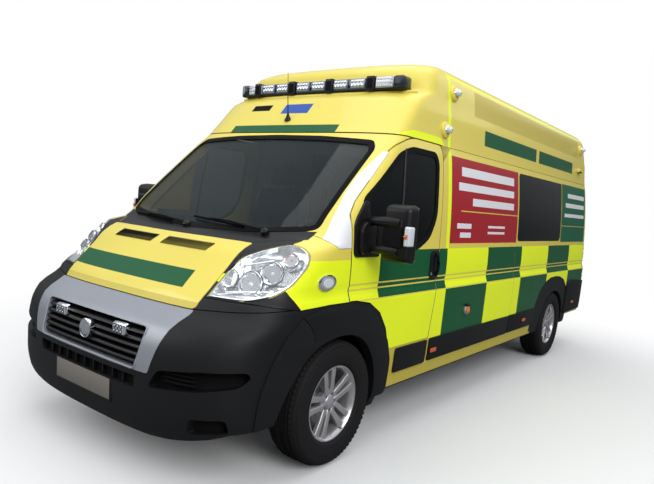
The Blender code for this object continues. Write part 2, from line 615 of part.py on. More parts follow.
def cylinder(name, start, end, radius, steps=ROUND_STEPS):
    """A round bar between two points."""
    start = Vector(start)
    end = Vector(end)
    along = (end - start).normalized()
    turn = along.to_track_quat("Z", "Y")
    points = []
    for centre in (start, end):
        for i in range(steps):
            angle = FULL_TURN * i / steps
            points.append(centre + turn @ Vector((radius * math.cos(angle), radius * math.sin(angle), 0)))
    faces = [list(range(steps)), list(range(steps, steps + steps))]
    for i in range(steps):
        after = (i + 1) % steps
        faces.append([i, after, steps + after, steps + i])
    return mesh_object(name, points, faces)


def turned(name, profile, centre, steps=WHEEL_STEPS):
    """A closed ring turned about X through centre; profile is (along X, radius) pairs."""
    centre = Vector(centre)
    points = []
    faces = []
    count = len(profile)
    for i in range(steps):
        angle = FULL_TURN * i / steps
        for along, radius in profile:
            points.append(centre + Vector((along, radius * math.cos(angle), radius * math.sin(angle))))
    for i in range(steps):
        after = (i + 1) % steps
        for j in range(count):
            k = (j + 1) % count
            faces.append([i * count + j, after * count + j, after * count + k, i * count + k])
    return mesh_object(name, points, faces)


def ring_bar(name, centre, normal, radius, thick):
    """A round ring of round bar, such as a steering wheel rim."""
    turn = Vector(normal).normalized().to_track_quat("Z", "Y")
    centre = Vector(centre)
    points = []
    faces = []
    for i in range(TORUS_STEPS):
        angle = FULL_TURN * i / TORUS_STEPS
        for j in range(TORUS_SIDES):
            side = FULL_TURN * j / TORUS_SIDES
            reach = radius + thick * math.cos(side)
            local = Vector((reach * math.cos(angle), reach * math.sin(angle), thick * math.sin(side)))
            points.append(centre + turn @ local)
    for i in range(TORUS_STEPS):
        after = (i + 1) % TORUS_STEPS
        for j in range(TORUS_SIDES):
            k = (j + 1) % TORUS_SIDES
            faces.append([i * TORUS_SIDES + j, after * TORUS_SIDES + j,
                          after * TORUS_SIDES + k, i * TORUS_SIDES + k])
    return mesh_object(name, points, faces)


def hull(inset, drop):
    """The van's outer shape, drawn in by inset and lowered by drop."""
    rings = []
    for height, width, setback, corner, lean in HULL_SHARES:
        z = height * BODY_HEIGHT - drop
        half_width = width * HALF_WIDTH - inset
        nose = setback * NOSE_RUN - FRONT_OVERHANG + inset
        depth = corner * CORNER_DEPTH
        tail = TAIL_Y - lean * TAIL_LEAN - inset
        left = []
        for i in range(NOSE_STEPS + 1):
            angle = QUARTER_TURN * i / NOSE_STEPS
            across = half_width * math.sin(angle) ** (2 / NOSE_POWER)
            back = depth * (1 - max(math.cos(angle), 0) ** (2 / NOSE_POWER))
            left.append((across, nose + back, z))
        for i in range(TAIL_STEPS + 1):
            angle = QUARTER_TURN * i / TAIL_STEPS
            left.append((half_width - TAIL_CORNER * (1 - math.cos(angle)),
                         tail - TAIL_CORNER * (1 - math.sin(angle)), z))
        right = [(-x, y, high) for x, y, high in reversed(left[1:])]
        rings.append(left + right)
    count = len(rings[0])
    points = [p for ring in rings for p in ring]
    faces = [list(range(count)), list(range(count * (len(rings) - 1), count * len(rings)))]
    for level in range(len(rings) - 1):
        for i in range(count):
            after = (i + 1) % count
            a = level * count
            b = a + count
            faces.append([a + i, a + after, b + after])
            faces.append([a + i, b + after, b + i])
    return mesh_object("hull", points, faces)


def combine(target, tool, operation):
    """Cut, join or keep the common part; the tool is used up."""
    tool.hide_render = True
    tool.display_type = "WIRE"
    modifier = target.modifiers.new("combine", "BOOLEAN")
    modifier.operation = operation
    modifier.solver = "EXACT"
    modifier.object = tool
    bpy.context.view_layer.update()
    graph = bpy.context.evaluated_depsgraph_get()
    fresh = bpy.data.meshes.new_from_object(target.evaluated_get(graph))
    target.modifiers.clear()
    target.data = fresh
    bpy.data.objects.remove(tool, do_unlink=True)
    return target


def cut(target, *tools):
    for tool in tools:
        combine(target, tool, "DIFFERENCE")
    return target


def keep(target, tool):
    return combine(target, tool, "INTERSECT")


def join(target, *tools):
    for tool in tools:
        combine(target, tool, "UNION")
    return target


def flipped(source, name):
    """A mirror copy on the other side of the vehicle."""
    twin = bpy.data.objects.new(name, source.data.copy())
    bpy.context.scene.collection.objects.link(twin)
    shape = bmesh.new()
    shape.from_mesh(twin.data)
    for corner in shape.verts:
        corner.co.x = -corner.co.x
    bmesh.ops.reverse_faces(shape, faces=shape.faces)
    shape.to_mesh(twin.data)
    shape.free()
    return twin


def tidy(thing):
    """Drop doubled points, stray crumbs and needless flat edges."""
    shape = bmesh.new()
    shape.from_mesh(thing.data)
    bmesh.ops.remove_doubles(shape, verts=shape.verts, dist=MERGE)
    bmesh.ops.dissolve_degenerate(shape, edges=shape.edges, dist=MERGE)
    bmesh.ops.dissolve_limit(shape, angle_limit=FLAT_ANGLE, verts=shape.verts, edges=shape.edges)
    bmesh.ops.triangulate(shape, faces=shape.faces)
    left = set(shape.verts)
    groups = []
    while left:
        start = left.pop()
        group = {start}
        queue = [start]
        while queue:
            corner = queue.pop()
            for edge in corner.link_edges:
                other = edge.other_vert(corner)
                if other in left:
                    left.discard(other)
                    group.add(other)
                    queue.append(other)
        groups.append(group)
    groups.sort(key=len, reverse=True)
    crumbs = [corner for group in groups[1:] for corner in group]
    bmesh.ops.delete(shape, geom=crumbs, context="VERTS")
    shape.to_mesh(thing.data)
    shape.free()
    return len(groups)


MERGE = 0.000004
FLAT_ANGLE = 0.004


def shell(inset, wall, drop=None):
    """The hull's skin: outer shape drawn in by inset, hollowed by wall."""
    outer = hull(inset, inset if drop is None else drop)
    inner = hull(inset + wall, inset + wall)
    return cut(outer, inner)


def slab(outline, grow, low=-FAR, high=FAR):
    """A side outline, grown, right across the vehicle or between two widths."""
    return prism("slab", grown(side_points(outline), grow), "X", low, high)


def arch(outline, axle_y):
    """A wheel opening round an axle, right across the vehicle."""
    points = [(axle_y + y * TYRE_RADIUS, z * TYRE_RADIUS) for y, z in outline]
    return prism("arch", points, "X", -FAR, FAR)


def plug(outline, grow, low, high):
    """A front outline, grown, between two places along the vehicle."""
    return prism("plug", grown(front_points(outline), grow), "Y", low, high)


def above(height):
    return box("above", (-FAR, -FAR, height), (FAR, FAR + FAR + FAR, FAR + FAR))

nodes = {}


def done(name, thing):
    thing.name = name
    thing.data.name = name
    tidy(thing)
    nodes[name] = thing
    return thing


def on_right(name, source):
    return done(name, flipped(nodes[source], name))


def windscreen_zone(grow):
    return plug(WINDSCREEN_SHARES, grow, -FAR, FRONT_PART_Y)


def headlight_zone(grow):
    zone = plug(HEADLIGHT_FRONT_SHARES, grow, -FAR, 0)
    return keep(zone, slab(HEADLIGHT_SIDE_SHARES, grow))


def headlight_zones(grow):
    left = headlight_zone(grow)
    return [left, flipped(left, "zone")]


def bonnet_zone(grow):
    zone = plug(BONNET_SHARES, grow, -FAR, FAR)
    plan = [(x * HALF_WIDTH, y * WHEELBASE) for x, y in BONNET_PLAN_SHARES]
    return keep(zone, prism("plan", grown(plan, grow), "Z", 0, FAR))


def rear_door_zone(grow):
    return box("rear", (-REAR_DOOR_HALF - grow, SIDE_TAIL_Y, REAR_DOOR_BOTTOM_Z - grow),
               (REAR_DOOR_HALF + grow, FAR + FAR, REAR_DOOR_TOP_Z + grow))


def lamp_zone(grow):
    return box("lamp", (LAMP_IN_X - grow, LAMP_FRONT_Y - grow, LAMP_LOW_Z - grow),
               (FAR, FAR + FAR, LAMP_TOP_Z + grow))


REAR_HINGE_X = REAR_DOOR_HALF + REAR_HINGE_OUT
REAR_HINGE_Y = TAIL_Y + REAR_HINGE_BACK


def hinge_half(x, y, low, leaf_x, leaf_y, along_x=0, along_y=0):
    """A hinge barrel and its leaf, from the pin at x, y to leaf_x, leaf_y."""
    barrel = cylinder("barrel", (x, y, low), (x, y, low + BARREL_LONG), BARREL_RADIUS, TORUS_SIDES)
    xs = sorted((x + math.copysign(along_x, leaf_x - x), leaf_x))
    ys = sorted((y + math.copysign(along_y, leaf_y - y), leaf_y))
    leaf = box("leaf", (xs[0], ys[0], low), (xs[1], ys[1], low + BARREL_LONG))
    return [leaf, barrel]


# outside panels, cut from the skin where the real ones meet
skin = shell(0, WALL)


def skin_copy():
    twin = bpy.data.objects.new("skin", skin.data.copy())
    bpy.context.scene.collection.objects.link(twin)
    return twin


roof = keep(skin_copy(), above(GUTTER_Z))
cut(roof, slab(DOOR_SHARES, SHUT), windscreen_zone(TOUCH), rear_door_zone(SHUT))
cut(roof, box("front", (-FAR, -FAR, 0), (FAR, DOOR_REAR_Y, DOOR_TOP_Z)))
done("roof", roof)

side = keep(skin_copy(),
            box("side", (0, DOOR_REAR_Y - SIDE_REACH, SILL_Z), (FAR, FAR + FAR, GUTTER_Z - TOUCH)))
cut(side, box("tail", (-FAR, SIDE_TAIL_Y, 0), (REAR_DOOR_HALF + SHUT, FAR + FAR, FAR)))
cut(side, lamp_zone(TOUCH), slab(REAR_FLARE_SHARES, TOUCH), slab(DOOR_SHARES, SHUT))
for low in REAR_BARREL_ZS:
    join(side, *hinge_half(REAR_HINGE_X, REAR_HINGE_Y, low + BARREL_LONG + TOUCH,
                           REAR_HINGE_X + REAR_LEAF_X, REAR_HINGE_Y - REAR_LEAF_DEEP, LEAF_BACK, 0))
side_blank = bpy.data.objects.new("side_blank", side.data.copy())
bpy.context.scene.collection.objects.link(side_blank)
cut(side, slab(SIDE_WINDOW_SHARES, TOUCH))
done("side_left", side)
twin = flipped(side_blank, "side_right")
bpy.data.objects.remove(side_blank, do_unlink=True)
cut(twin, slab(SLIDING_DOOR_SHARES, LINE_GAP), slab(SIDE_WINDOW_SHARES, TOUCH))
done("side_right", twin)

slider = keep(skin_copy(), slab(SLIDING_DOOR_SHARES, 0, -FAR, 0))
cut(slider, slab(SLIDING_WINDOW_SHARES, TOUCH))
done("sliding_door", slider)

wing = keep(skin_copy(), slab(WING_SHARES, 0, WING_IN_X, FAR))
cut(wing, slab(BUMPER_SHARES, TOUCH), slab(DOOR_SHARES, SHUT), bonnet_zone(MOVE_GAP),
    headlight_zone(TOUCH), plug(SCUTTLE_SHARES, TOUCH, -FAR, 0), windscreen_zone(TOUCH))
ledge = keep(shell(BONNET_WALL + TOUCH, LEDGE_SKIN),
             box("ledge", (LEDGE_IN_X, LEDGE_FRONT_Y, 0), (LEDGE_OUT_X, LEDGE_REAR_Y, FAR)))
join(wing, ledge)
for low in DOOR_BARREL_ZS:
    join(wing, *hinge_half(DOOR_HINGE_X, DOOR_HINGE_Y, low + BARREL_LONG + TOUCH,
                           DOOR_LEAF_IN_X, DOOR_HINGE_Y - DOOR_LEAF_LONG, 0, LEAF_BACK))
done("wing_left", wing)
on_right("wing_right", "wing_left")

bumper = keep(skin_copy(), slab(BUMPER_SHARES, 0))
cut(bumper, arch(FRONT_ARCH_SHARES, 0), plug(SURROUND_SHARES, TOUCH, -FAR, 0),
    bonnet_zone(MOVE_GAP), *headlight_zones(TOUCH))
done("front_bumper", bumper)

surround = keep(skin_copy(), plug(SURROUND_SHARES, 0, -FAR, 0))
cut(surround, plug(GRILLE_SHARES, TOUCH, -FAR, 0), bonnet_zone(MOVE_GAP), *headlight_zones(TOUCH))
done("grille_surround", surround)

grille = keep(shell(GRILLE_INSET, GRILLE_WALL), plug(GRILLE_SHARES, 0, -FAR, 0))
done("grille", grille)

bonnet = keep(shell(0, BONNET_WALL), bonnet_zone(0))
done("bonnet", bonnet)

scuttle = keep(shell(0, BONNET_WALL), plug(SCUTTLE_SHARES, 0, -FAR, 0))
cut(scuttle, windscreen_zone(TOUCH), bonnet_zone(MOVE_GAP))
done("scuttle_panel", scuttle)

pane = keep(shell(GLASS_INSET, GLASS_WALL), windscreen_zone(0))
done("windscreen", pane)

lamp = keep(shell(0, LAMP_WALL), headlight_zone(0))
cut(lamp, bonnet_zone(MOVE_GAP))
done("headlight_left", lamp)
on_right("headlight_right", "headlight_left")

lamp = keep(skin_copy(), lamp_zone(0))
cut(lamp, box("tail", (-FAR, SIDE_TAIL_Y, 0), (REAR_DOOR_HALF + SHUT, FAR + FAR, FAR)))
done("rear_lamp_left", lamp)
on_right("rear_lamp_right", "rear_lamp_left")

flare = keep(skin_copy(), slab(REAR_FLARE_SHARES, 0, 0, FAR))
cut(flare, arch(REAR_ARCH_SHARES, WHEELBASE))
done("flare_rear_left", flare)
on_right("flare_rear_right", "flare_rear_left")

# doors
door = keep(shell(0, DOOR_WALL), slab(DOOR_SHARES, 0, 0, FAR))
cut(door, slab(BUMPER_SHARES, MOVE_GAP), slab(DOOR_WINDOW_SHARES, TOUCH), windscreen_zone(MOVE_GAP))
cut(door, box("sill", (0, -FAR, 0), (SILL_OUT_X + MOVE_GAP, FAR, SILL_Z + MOVE_GAP)))
mirror_base = box("base", (MIRROR_BASE_IN_X, MIRROR_BASE_FRONT_Y, MIRROR_BASE_LOW_Z),
                  (MIRROR_BASE_OUT_X, MIRROR_BASE_REAR_Y, MIRROR_BASE_TOP_Z))
head = rounded_box("head", (MIRROR_HEAD_IN_X, MIRROR_HEAD_FRONT_Y, MIRROR_HEAD_LOW_Z),
                   (MIRROR_HEAD_OUT_X, MIRROR_HEAD_REAR_Y, MIRROR_HEAD_TOP_Z), MIRROR_HEAD_ROUND)
for height in (MIRROR_ARM_LOW_Z, MIRROR_ARM_TOP_Z):
    join(head, cylinder("arm", (MIRROR_BASE_IN_X + MIRROR_ARM_RADIUS, MIRROR_ARM_Y, height),
                        (MIRROR_HEAD_IN_X + MIRROR_HEAD_ROUND + MIRROR_ARM_RADIUS, MIRROR_ARM_Y, height),
                        MIRROR_ARM_RADIUS, TORUS_SIDES + TORUS_SIDES))
join(head, mirror_base)
cut(head, hull(-TOUCH, -TOUCH))
done("mirror_left", head)
for low in DOOR_BARREL_ZS:
    join(door, *hinge_half(DOOR_HINGE_X, DOOR_HINGE_Y, low, DOOR_LEAF_IN_X,
                           DOOR_HINGE_Y + DOOR_LEAF_LONG, 0, LEAF_BACK))
done("door_left", door)
on_right("door_right", "door_left")
on_right("mirror_right", "mirror_left")

pane = keep(shell(GLASS_INSET, GLASS_WALL), slab(DOOR_WINDOW_SHARES, 0, 0, FAR))
done("door_glass_left", pane)
on_right("door_glass_right", "door_glass_left")
pane = keep(shell(GLASS_INSET, GLASS_WALL), slab(SIDE_WINDOW_SHARES, 0, 0, FAR))
done("side_window_left", pane)
on_right("side_window_right", "side_window_left")
pane = keep(shell(GLASS_INSET, GLASS_WALL), slab(SLIDING_WINDOW_SHARES, 0, -FAR, 0))
done("sliding_door_window", pane)


def rear_window_zone(grow):
    return box("window", (REAR_WINDOW_IN_X - grow, SIDE_TAIL_Y, REAR_WINDOW_LOW_Z - grow),
               (REAR_WINDOW_OUT_X + grow, FAR + FAR, REAR_WINDOW_TOP_Z + grow))


back = keep(skin_copy(), rear_door_zone(0))
cut(back, box("half", (-FAR, 0, 0), (MOVE_GAP * HALF, FAR + FAR, FAR)), rear_window_zone(TOUCH))
for low in REAR_BARREL_ZS:
    join(back, *hinge_half(REAR_HINGE_X, REAR_HINGE_Y, low, REAR_HINGE_X - REAR_LEAF_X,
                           REAR_HINGE_Y - REAR_LEAF_DEEP, LEAF_BACK, 0))
done("rear_door_left", back)
on_right("rear_door_right", "rear_door_left")
pane = keep(shell(GLASS_INSET, GLASS_WALL), rear_window_zone(0))
done("rear_window_left", pane)
on_right("rear_window_right", "rear_window_left")

# windscreen pillars and the beam and wall under the windscreen, one piece
cab = keep(skin_copy(), slab(PILLAR_SHARES, 0))
cut(cab, slab(DOOR_SHARES, SHUT), windscreen_zone(TOUCH), slab(WING_SHARES, TOUCH),
    plug(SCUTTLE_SHARES, TOUCH, -FAR, 0), above(DOOR_TOP_Z - TOUCH))
beam = box("beam", (-COWL_HALF, COWL_FRONT_Y, COWL_LOW_Z), (COWL_HALF, COWL_REAR_Y, COWL_TOP_Z))
wall = box("wall", (-FIREWALL_HALF, FIREWALL_Y - FIREWALL_SKIN, HOUSING_TOP_Z + TOUCH),
           (FIREWALL_HALF, FIREWALL_Y, COWL_LOW_Z + FIREWALL_SKIN))
join(wall, box("shelf", (-FIREWALL_HALF, FIREWALL_Y - FIREWALL_SKIN * HALF, COWL_LOW_Z),
               (FIREWALL_HALF, COWL_REAR_Y - FIREWALL_SKIN * HALF, COWL_LOW_Z + FIREWALL_SKIN)))
keep(wall, hull(WALL + TOUCH, WALL + TOUCH))
keep(beam, hull(BONNET_WALL + TOUCH, BONNET_WALL + TOUCH))
join(beam, wall)
cut(beam, slab(DOOR_SHARES, SHUT))
join(cab, beam)
done("cab_frame", cab)

# floor with wheel housings and sills
floor = box("floor", (-INSIDE_X, LOAD_FLOOR_Y, FLOOR_LOW_Z), (INSIDE_X, FLOOR_END_Y, FLOOR_TOP_Z))
join(floor, box("cab", (-CAB_INSIDE_X, CAB_FLOOR_Y - HOUSING_SKIN, FLOOR_LOW_Z),
                (CAB_INSIDE_X, LOAD_FLOOR_Y + HOUSING_SKIN, FLOOR_TOP_Z)))
for side_sign in (1, -1):
    xs = sorted((side_sign * HOUSING_IN_X, side_sign * CAB_INSIDE_X))
    block = box("housing", (xs[0], HOUSING_FRONT_Y, FLOOR_LOW_Z), (xs[1], HOUSING_REAR_Y, HOUSING_TOP_Z))
    hollow_xs = sorted((side_sign * (HOUSING_IN_X + HOUSING_SKIN), side_sign * FAR))
    cut(block, box("hollow", (hollow_xs[0], -FAR, 0),
                   (hollow_xs[1], HOUSING_REAR_Y - HOUSING_SKIN, HOUSING_TOP_Z - HOUSING_SKIN)))
    join(floor, block)
    xs = sorted((side_sign * REAR_HOUSING_IN_X, side_sign * INSIDE_X))
    join(floor, box("housing", (xs[0], REAR_HOUSING_FRONT_Y, FLOOR_LOW_Z),
                    (xs[1], REAR_HOUSING_REAR_Y, REAR_HOUSING_TOP_Z)))
    hollow_xs = sorted((side_sign * (REAR_HOUSING_IN_X + HOUSING_SKIN), side_sign * FAR))
    cut(floor, box("hollow", (hollow_xs[0], REAR_HOUSING_FRONT_Y + HOUSING_SKIN, 0),
                   (hollow_xs[1], REAR_HOUSING_REAR_Y - HOUSING_SKIN, REAR_HOUSING_TOP_Z - HOUSING_SKIN)))
    xs = sorted((side_sign * SILL_IN_X, side_sign * SILL_OUT_X))
    join(floor, box("sill", (xs[0], SILL_FRONT_Y, SILL_LOW_Z), (xs[1], SILL_REAR_Y, SILL_Z - TOUCH)))
    join(floor, box("riser", (sorted((side_sign * SILL_IN_X, side_sign * (INSIDE_X - WALL * HALF)))[0],
                              SILL_FRONT_Y, SILL_LOW_Z),
                    (sorted((side_sign * SILL_IN_X, side_sign * (INSIDE_X - WALL * HALF)))[1],
                     SILL_REAR_Y, FLOOR_TOP_Z)))
toe = box("toe", (-HOUSING_IN_X - HOUSING_SKIN * HALF, FIREWALL_Y - FIREWALL_SKIN, FLOOR_LOW_Z),
          (HOUSING_IN_X + HOUSING_SKIN * HALF, FIREWALL_Y, HOUSING_TOP_Z))
foot = box("foot", (-HOUSING_IN_X - HOUSING_SKIN * HALF, FIREWALL_Y - FIREWALL_SKIN, FLOOR_LOW_Z),
           (HOUSING_IN_X + HOUSING_SKIN * HALF, CAB_FLOOR_Y + HOUSING_SKIN, FLOOR_TOP_Z))
join(floor, toe, foot)
keep(floor, hull(0, 0))
done("floor", floor)

bulk = box("bulk", (-INSIDE_X, BULKHEAD_Y, FLOOR_TOP_Z + TOUCH),
           (INSIDE_X, BULKHEAD_Y + BULKHEAD_SKIN, BULKHEAD_TOP_Z))
keep(bulk, hull(WALL + TOUCH, WALL + TOUCH))
cut(bulk, box("hole", (-BULKHEAD_HOLE_HALF, 0, BULKHEAD_HOLE_LOW_Z),
              (BULKHEAD_HOLE_HALF, FAR, BULKHEAD_HOLE_TOP_Z)))
done("bulkhead", bulk)

lockers = box("lockers", (LOCKER_IN_X, LOCKER_FRONT_Y, FLOOR_TOP_Z + TOUCH),
              (LOCKER_OUT_X, LOCKER_REAR_Y, LOCKER_TOP_Z))
done("locker_unit", lockers)

bed = rounded_box("bed", (-STRETCHER_HALF, STRETCHER_FRONT_Y, STRETCHER_LOW_Z),
                  (STRETCHER_HALF, STRETCHER_REAR_Y, STRETCHER_TOP_Z), STRETCHER_ROUND)
join(bed, box("legs", (-STRETCHER_LEG_HALF, STRETCHER_FRONT_Y + STRETCHER_LEG_HALF, FLOOR_TOP_Z + TOUCH),
              (STRETCHER_LEG_HALF, STRETCHER_REAR_Y - STRETCHER_LEG_HALF, STRETCHER_TOP_Z - STRETCHER_ROUND)))
done("stretcher", bed)

# cab fittings
dash = slab(DASH_SHARES, 0, -DASH_HALF, DASH_HALF)
keep(dash, hull(WALL + DASH_CLEAR, WALL + DASH_CLEAR))
cut(dash, box("beam", (-FAR, -FAR, COWL_LOW_Z - TOUCH), (FAR, COWL_REAR_Y + TOUCH, FAR)),
    box("wall", (-FAR, -FAR, 0), (FAR, FIREWALL_Y + TOUCH, FAR)),
    box("housings", (-FAR, -FAR, 0), (FAR, HOUSING_REAR_Y + DASH_CLEAR, HOUSING_TOP_Z + TOUCH)))
done("dashboard", dash)

column_way = Vector((0, math.cos(COLUMN_TILT), math.sin(COLUMN_TILT)))
wheel_centre = Vector((SEAT_X, WHEEL_CENTRE_Y, WHEEL_CENTRE_Z))
hand_wheel = ring_bar("ring", wheel_centre, column_way, STEERING_RADIUS, STEERING_BAR)
join(hand_wheel, cylinder("hub", wheel_centre - column_way * STEERING_HUB_LONG,
                          wheel_centre + column_way * STEERING_BAR, STEERING_HUB))
flat = Vector((0, -column_way.z, column_way.y))
for way in (Vector((1, 0, 0)), Vector((-1, 0, 0)), flat * -1):
    join(hand_wheel, cylinder("spoke", wheel_centre, wheel_centre + way * STEERING_RADIUS,
                              STEERING_SPOKE, TORUS_SIDES))
done("steering_wheel", hand_wheel)
column_end = wheel_centre - column_way * (STEERING_HUB_LONG + TOUCH)
column = cylinder("column", column_end - column_way * COLUMN_LONG, column_end, COLUMN_RADIUS)
cut(column, box("wall", (-FAR, -FAR, 0), (FAR, FIREWALL_Y + WALL, FAR)))
join(nodes["dashboard"], column)
tidy(nodes["dashboard"])

seat = slab(SEAT_SHARES, 0, SEAT_X - SEAT_HALF, SEAT_X + SEAT_HALF)
join(seat, box("base", (SEAT_X - SEAT_BASE_HALF, SEAT_BASE_FRONT_Y, FLOOR_TOP_Z + TOUCH),
               (SEAT_X + SEAT_BASE_HALF, SEAT_BASE_REAR_Y,
                WHEEL_CENTRE_Z - STEERING_RADIUS - STEERING_RADIUS)))
join(seat, rounded_box("head", (SEAT_X - HEADREST_HALF, HEADREST_FRONT_Y, SEAT_TOP_Z - HEADREST_SINK),
                       (SEAT_X + HEADREST_HALF, HEADREST_REAR_Y, HEADREST_TOP_Z), HEADREST_ROUND))
done("seat_driver", seat)
on_right("seat_passenger", "seat_driver")

# light bar and rear step
bar = rounded_box("bar", (-BAR_HALF, BAR_FRONT_Y, BAR_LOW_Z), (BAR_HALF, BAR_REAR_Y, BAR_TOP_Z), BAR_ROUND)
cut(bar, hull(-TOUCH, -TOUCH))
done("light_bar", bar)

step = box("step", (-STEP_HALF, STEP_FRONT_Y, STEP_LOW_Z), (STEP_HALF, TAIL_Y + STEP_DEPTH, STEP_TOP_Z))
for side_sign in (1, -1):
    middle = side_sign * STEP_ARM_X
    join(step, box("arm", (middle - STEP_ARM_HALF, STEP_ARM_Y, STEP_LOW_Z + STEP_ARM_HALF * HALF),
                   (middle + STEP_ARM_HALF, STEP_FRONT_Y + STEP_ARM_HALF, STEP_TOP_Z - STEP_ARM_HALF * HALF)))
    join(step, box("post", (middle - STEP_ARM_HALF, STEP_ARM_Y, STEP_LOW_Z + STEP_ARM_HALF * HALF),
                   (middle + STEP_ARM_HALF, STEP_ARM_Y + STEP_ARM_HALF, STEP_ARM_TOP_Z)))
done("rear_step", step)

# running gear
frame = box("frame", (-SUBFRAME_HALF, -SUBFRAME_Y, SUBFRAME_LOW_Z),
            (SUBFRAME_HALF, SUBFRAME_Y, SUBFRAME_TOP_Z))
cut(frame, box("hole", (-SUBFRAME_HOLE_HALF, -SUBFRAME_HOLE_Y, 0),
               (SUBFRAME_HOLE_HALF, SUBFRAME_HOLE_Y, FAR)))
for side_sign in (1, -1):
    xs = sorted((side_sign * (SUBFRAME_HALF - SUBFRAME_POST_HALF), side_sign * ARM_OUT_X))
    join(frame, box("arm", (xs[0], -ARM_HALF, ARM_LOW_Z), (xs[1], ARM_HALF, ARM_TOP_Z)))
    xs = sorted((side_sign * (SUBFRAME_HALF - SUBFRAME_POST_HALF), side_sign * SUBFRAME_HALF))
    join(frame, box("post", (xs[0], SUBFRAME_Y - SUBFRAME_POST_HALF, SUBFRAME_LOW_Z),
                    (xs[1], SUBFRAME_Y, FLOOR_LOW_Z - TOUCH)))
done("front_subframe", frame)

knuckle = cylinder("hub", (HUB_IN_X, 0, TYRE_RADIUS), (HUB_FACE_X - TOUCH, 0, TYRE_RADIUS), HUB_RADIUS)
join(knuckle, cylinder("disc", (DISC_IN_X, 0, TYRE_RADIUS), (DISC_OUT_X, 0, TYRE_RADIUS), DISC_RADIUS))
join(knuckle, box("upright", (UPRIGHT_IN_X, -UPRIGHT_HALF, UPRIGHT_LOW_Z),
                  (UPRIGHT_OUT_X, UPRIGHT_HALF, UPRIGHT_TOP_Z)))
join(knuckle, box("bearer", (UPRIGHT_OUT_X - UPRIGHT_HALF * HALF, -UPRIGHT_HALF, TYRE_RADIUS - UPRIGHT_HALF),
                  (DISC_IN_X - TYRE_CREST, UPRIGHT_HALF, TYRE_RADIUS + UPRIGHT_HALF)))
join(knuckle, box("yoke", (UPRIGHT_OUT_X - UPRIGHT_HALF * HALF, -UPRIGHT_HALF, YOKE_LOW_Z),
                  (KINGPIN_X + STRUT_RADIUS, UPRIGHT_HALF, UPRIGHT_TOP_Z)))
join(knuckle, cylinder("strut", (KINGPIN_X, 0, UPRIGHT_TOP_Z - TYRE_CREST),
                       (KINGPIN_X, 0, STRUT_TOP_Z), STRUT_RADIUS))
join(knuckle, cylinder("ball", (KINGPIN_X, 0, BALL_LOW_Z), (KINGPIN_X, 0, TYRE_RADIUS - UPRIGHT_HALF * HALF),
                       BALL_RADIUS, TORUS_SIDES + TORUS_SIDES))
done("knuckle_left", knuckle)
on_right("knuckle_right", "knuckle_left")

axle = cylinder("axle", (-REAR_HUB_FACE_X + TOUCH, WHEELBASE, TYRE_RADIUS),
                (REAR_HUB_FACE_X - TOUCH, WHEELBASE, TYRE_RADIUS), AXLE_BAR_RADIUS)
for side_sign in (1, -1):
    join(axle, cylinder("flange", (side_sign * (REAR_HUB_FACE_X - TYRE_WIDTH * HALF), WHEELBASE, TYRE_RADIUS),
                        (side_sign * (REAR_HUB_FACE_X - TYRE_WIDTH * HALF + AXLE_FLANGE_LONG), WHEELBASE,
                         TYRE_RADIUS), AXLE_FLANGE_RADIUS))
    middle = side_sign * SPRING_X
    join(axle, box("spring", (middle - SPRING_HALF, SPRING_FRONT_Y, SPRING_LOW_Z),
                   (middle + SPRING_HALF, SPRING_REAR_Y, SPRING_TOP_Z)))
    for place in (SPRING_FRONT_Y, SPRING_REAR_Y - SHACKLE_LONG):
        join(axle, box("shackle", (middle - SPRING_HALF, place, SPRING_LOW_Z),
                       (middle + SPRING_HALF, place + SHACKLE_LONG, FLOOR_LOW_Z - TOUCH)))
done("rear_axle", axle)

engine = rounded_box("engine", (ENGINE_RIGHT_X, ENGINE_FRONT_Y, ENGINE_LOW_Z),
                     (ENGINE_LEFT_X, ENGINE_REAR_Y, ENGINE_TOP_Z), STRETCHER_ROUND)
done("engine", engine)

pipe = cylinder("pipe", (PIPE_X, PIPE_FRONT_Y, PIPE_Z), (PIPE_X, PIPE_REAR_Y, PIPE_Z), PIPE_RADIUS,
                TORUS_SIDES + TORUS_SIDES)
join(pipe, cylinder("muffler", (PIPE_X, MUFFLER_FRONT_Y, PIPE_Z),
                    (PIPE_X, MUFFLER_REAR_Y, PIPE_Z), MUFFLER_RADIUS))
for place in (PIPE_FRONT_Y + SUBFRAME_HOLE_Y + STEP_ARM_HALF, PIPE_REAR_Y - STEP_ARM_HALF - STEP_ARM_HALF):
    join(pipe, box("hanger", (PIPE_X - TYRE_CREST, place, PIPE_Z),
                   (PIPE_X + TYRE_CREST, place + STEP_ARM_HALF, FLOOR_LOW_Z - TOUCH)))
done("exhaust", pipe)


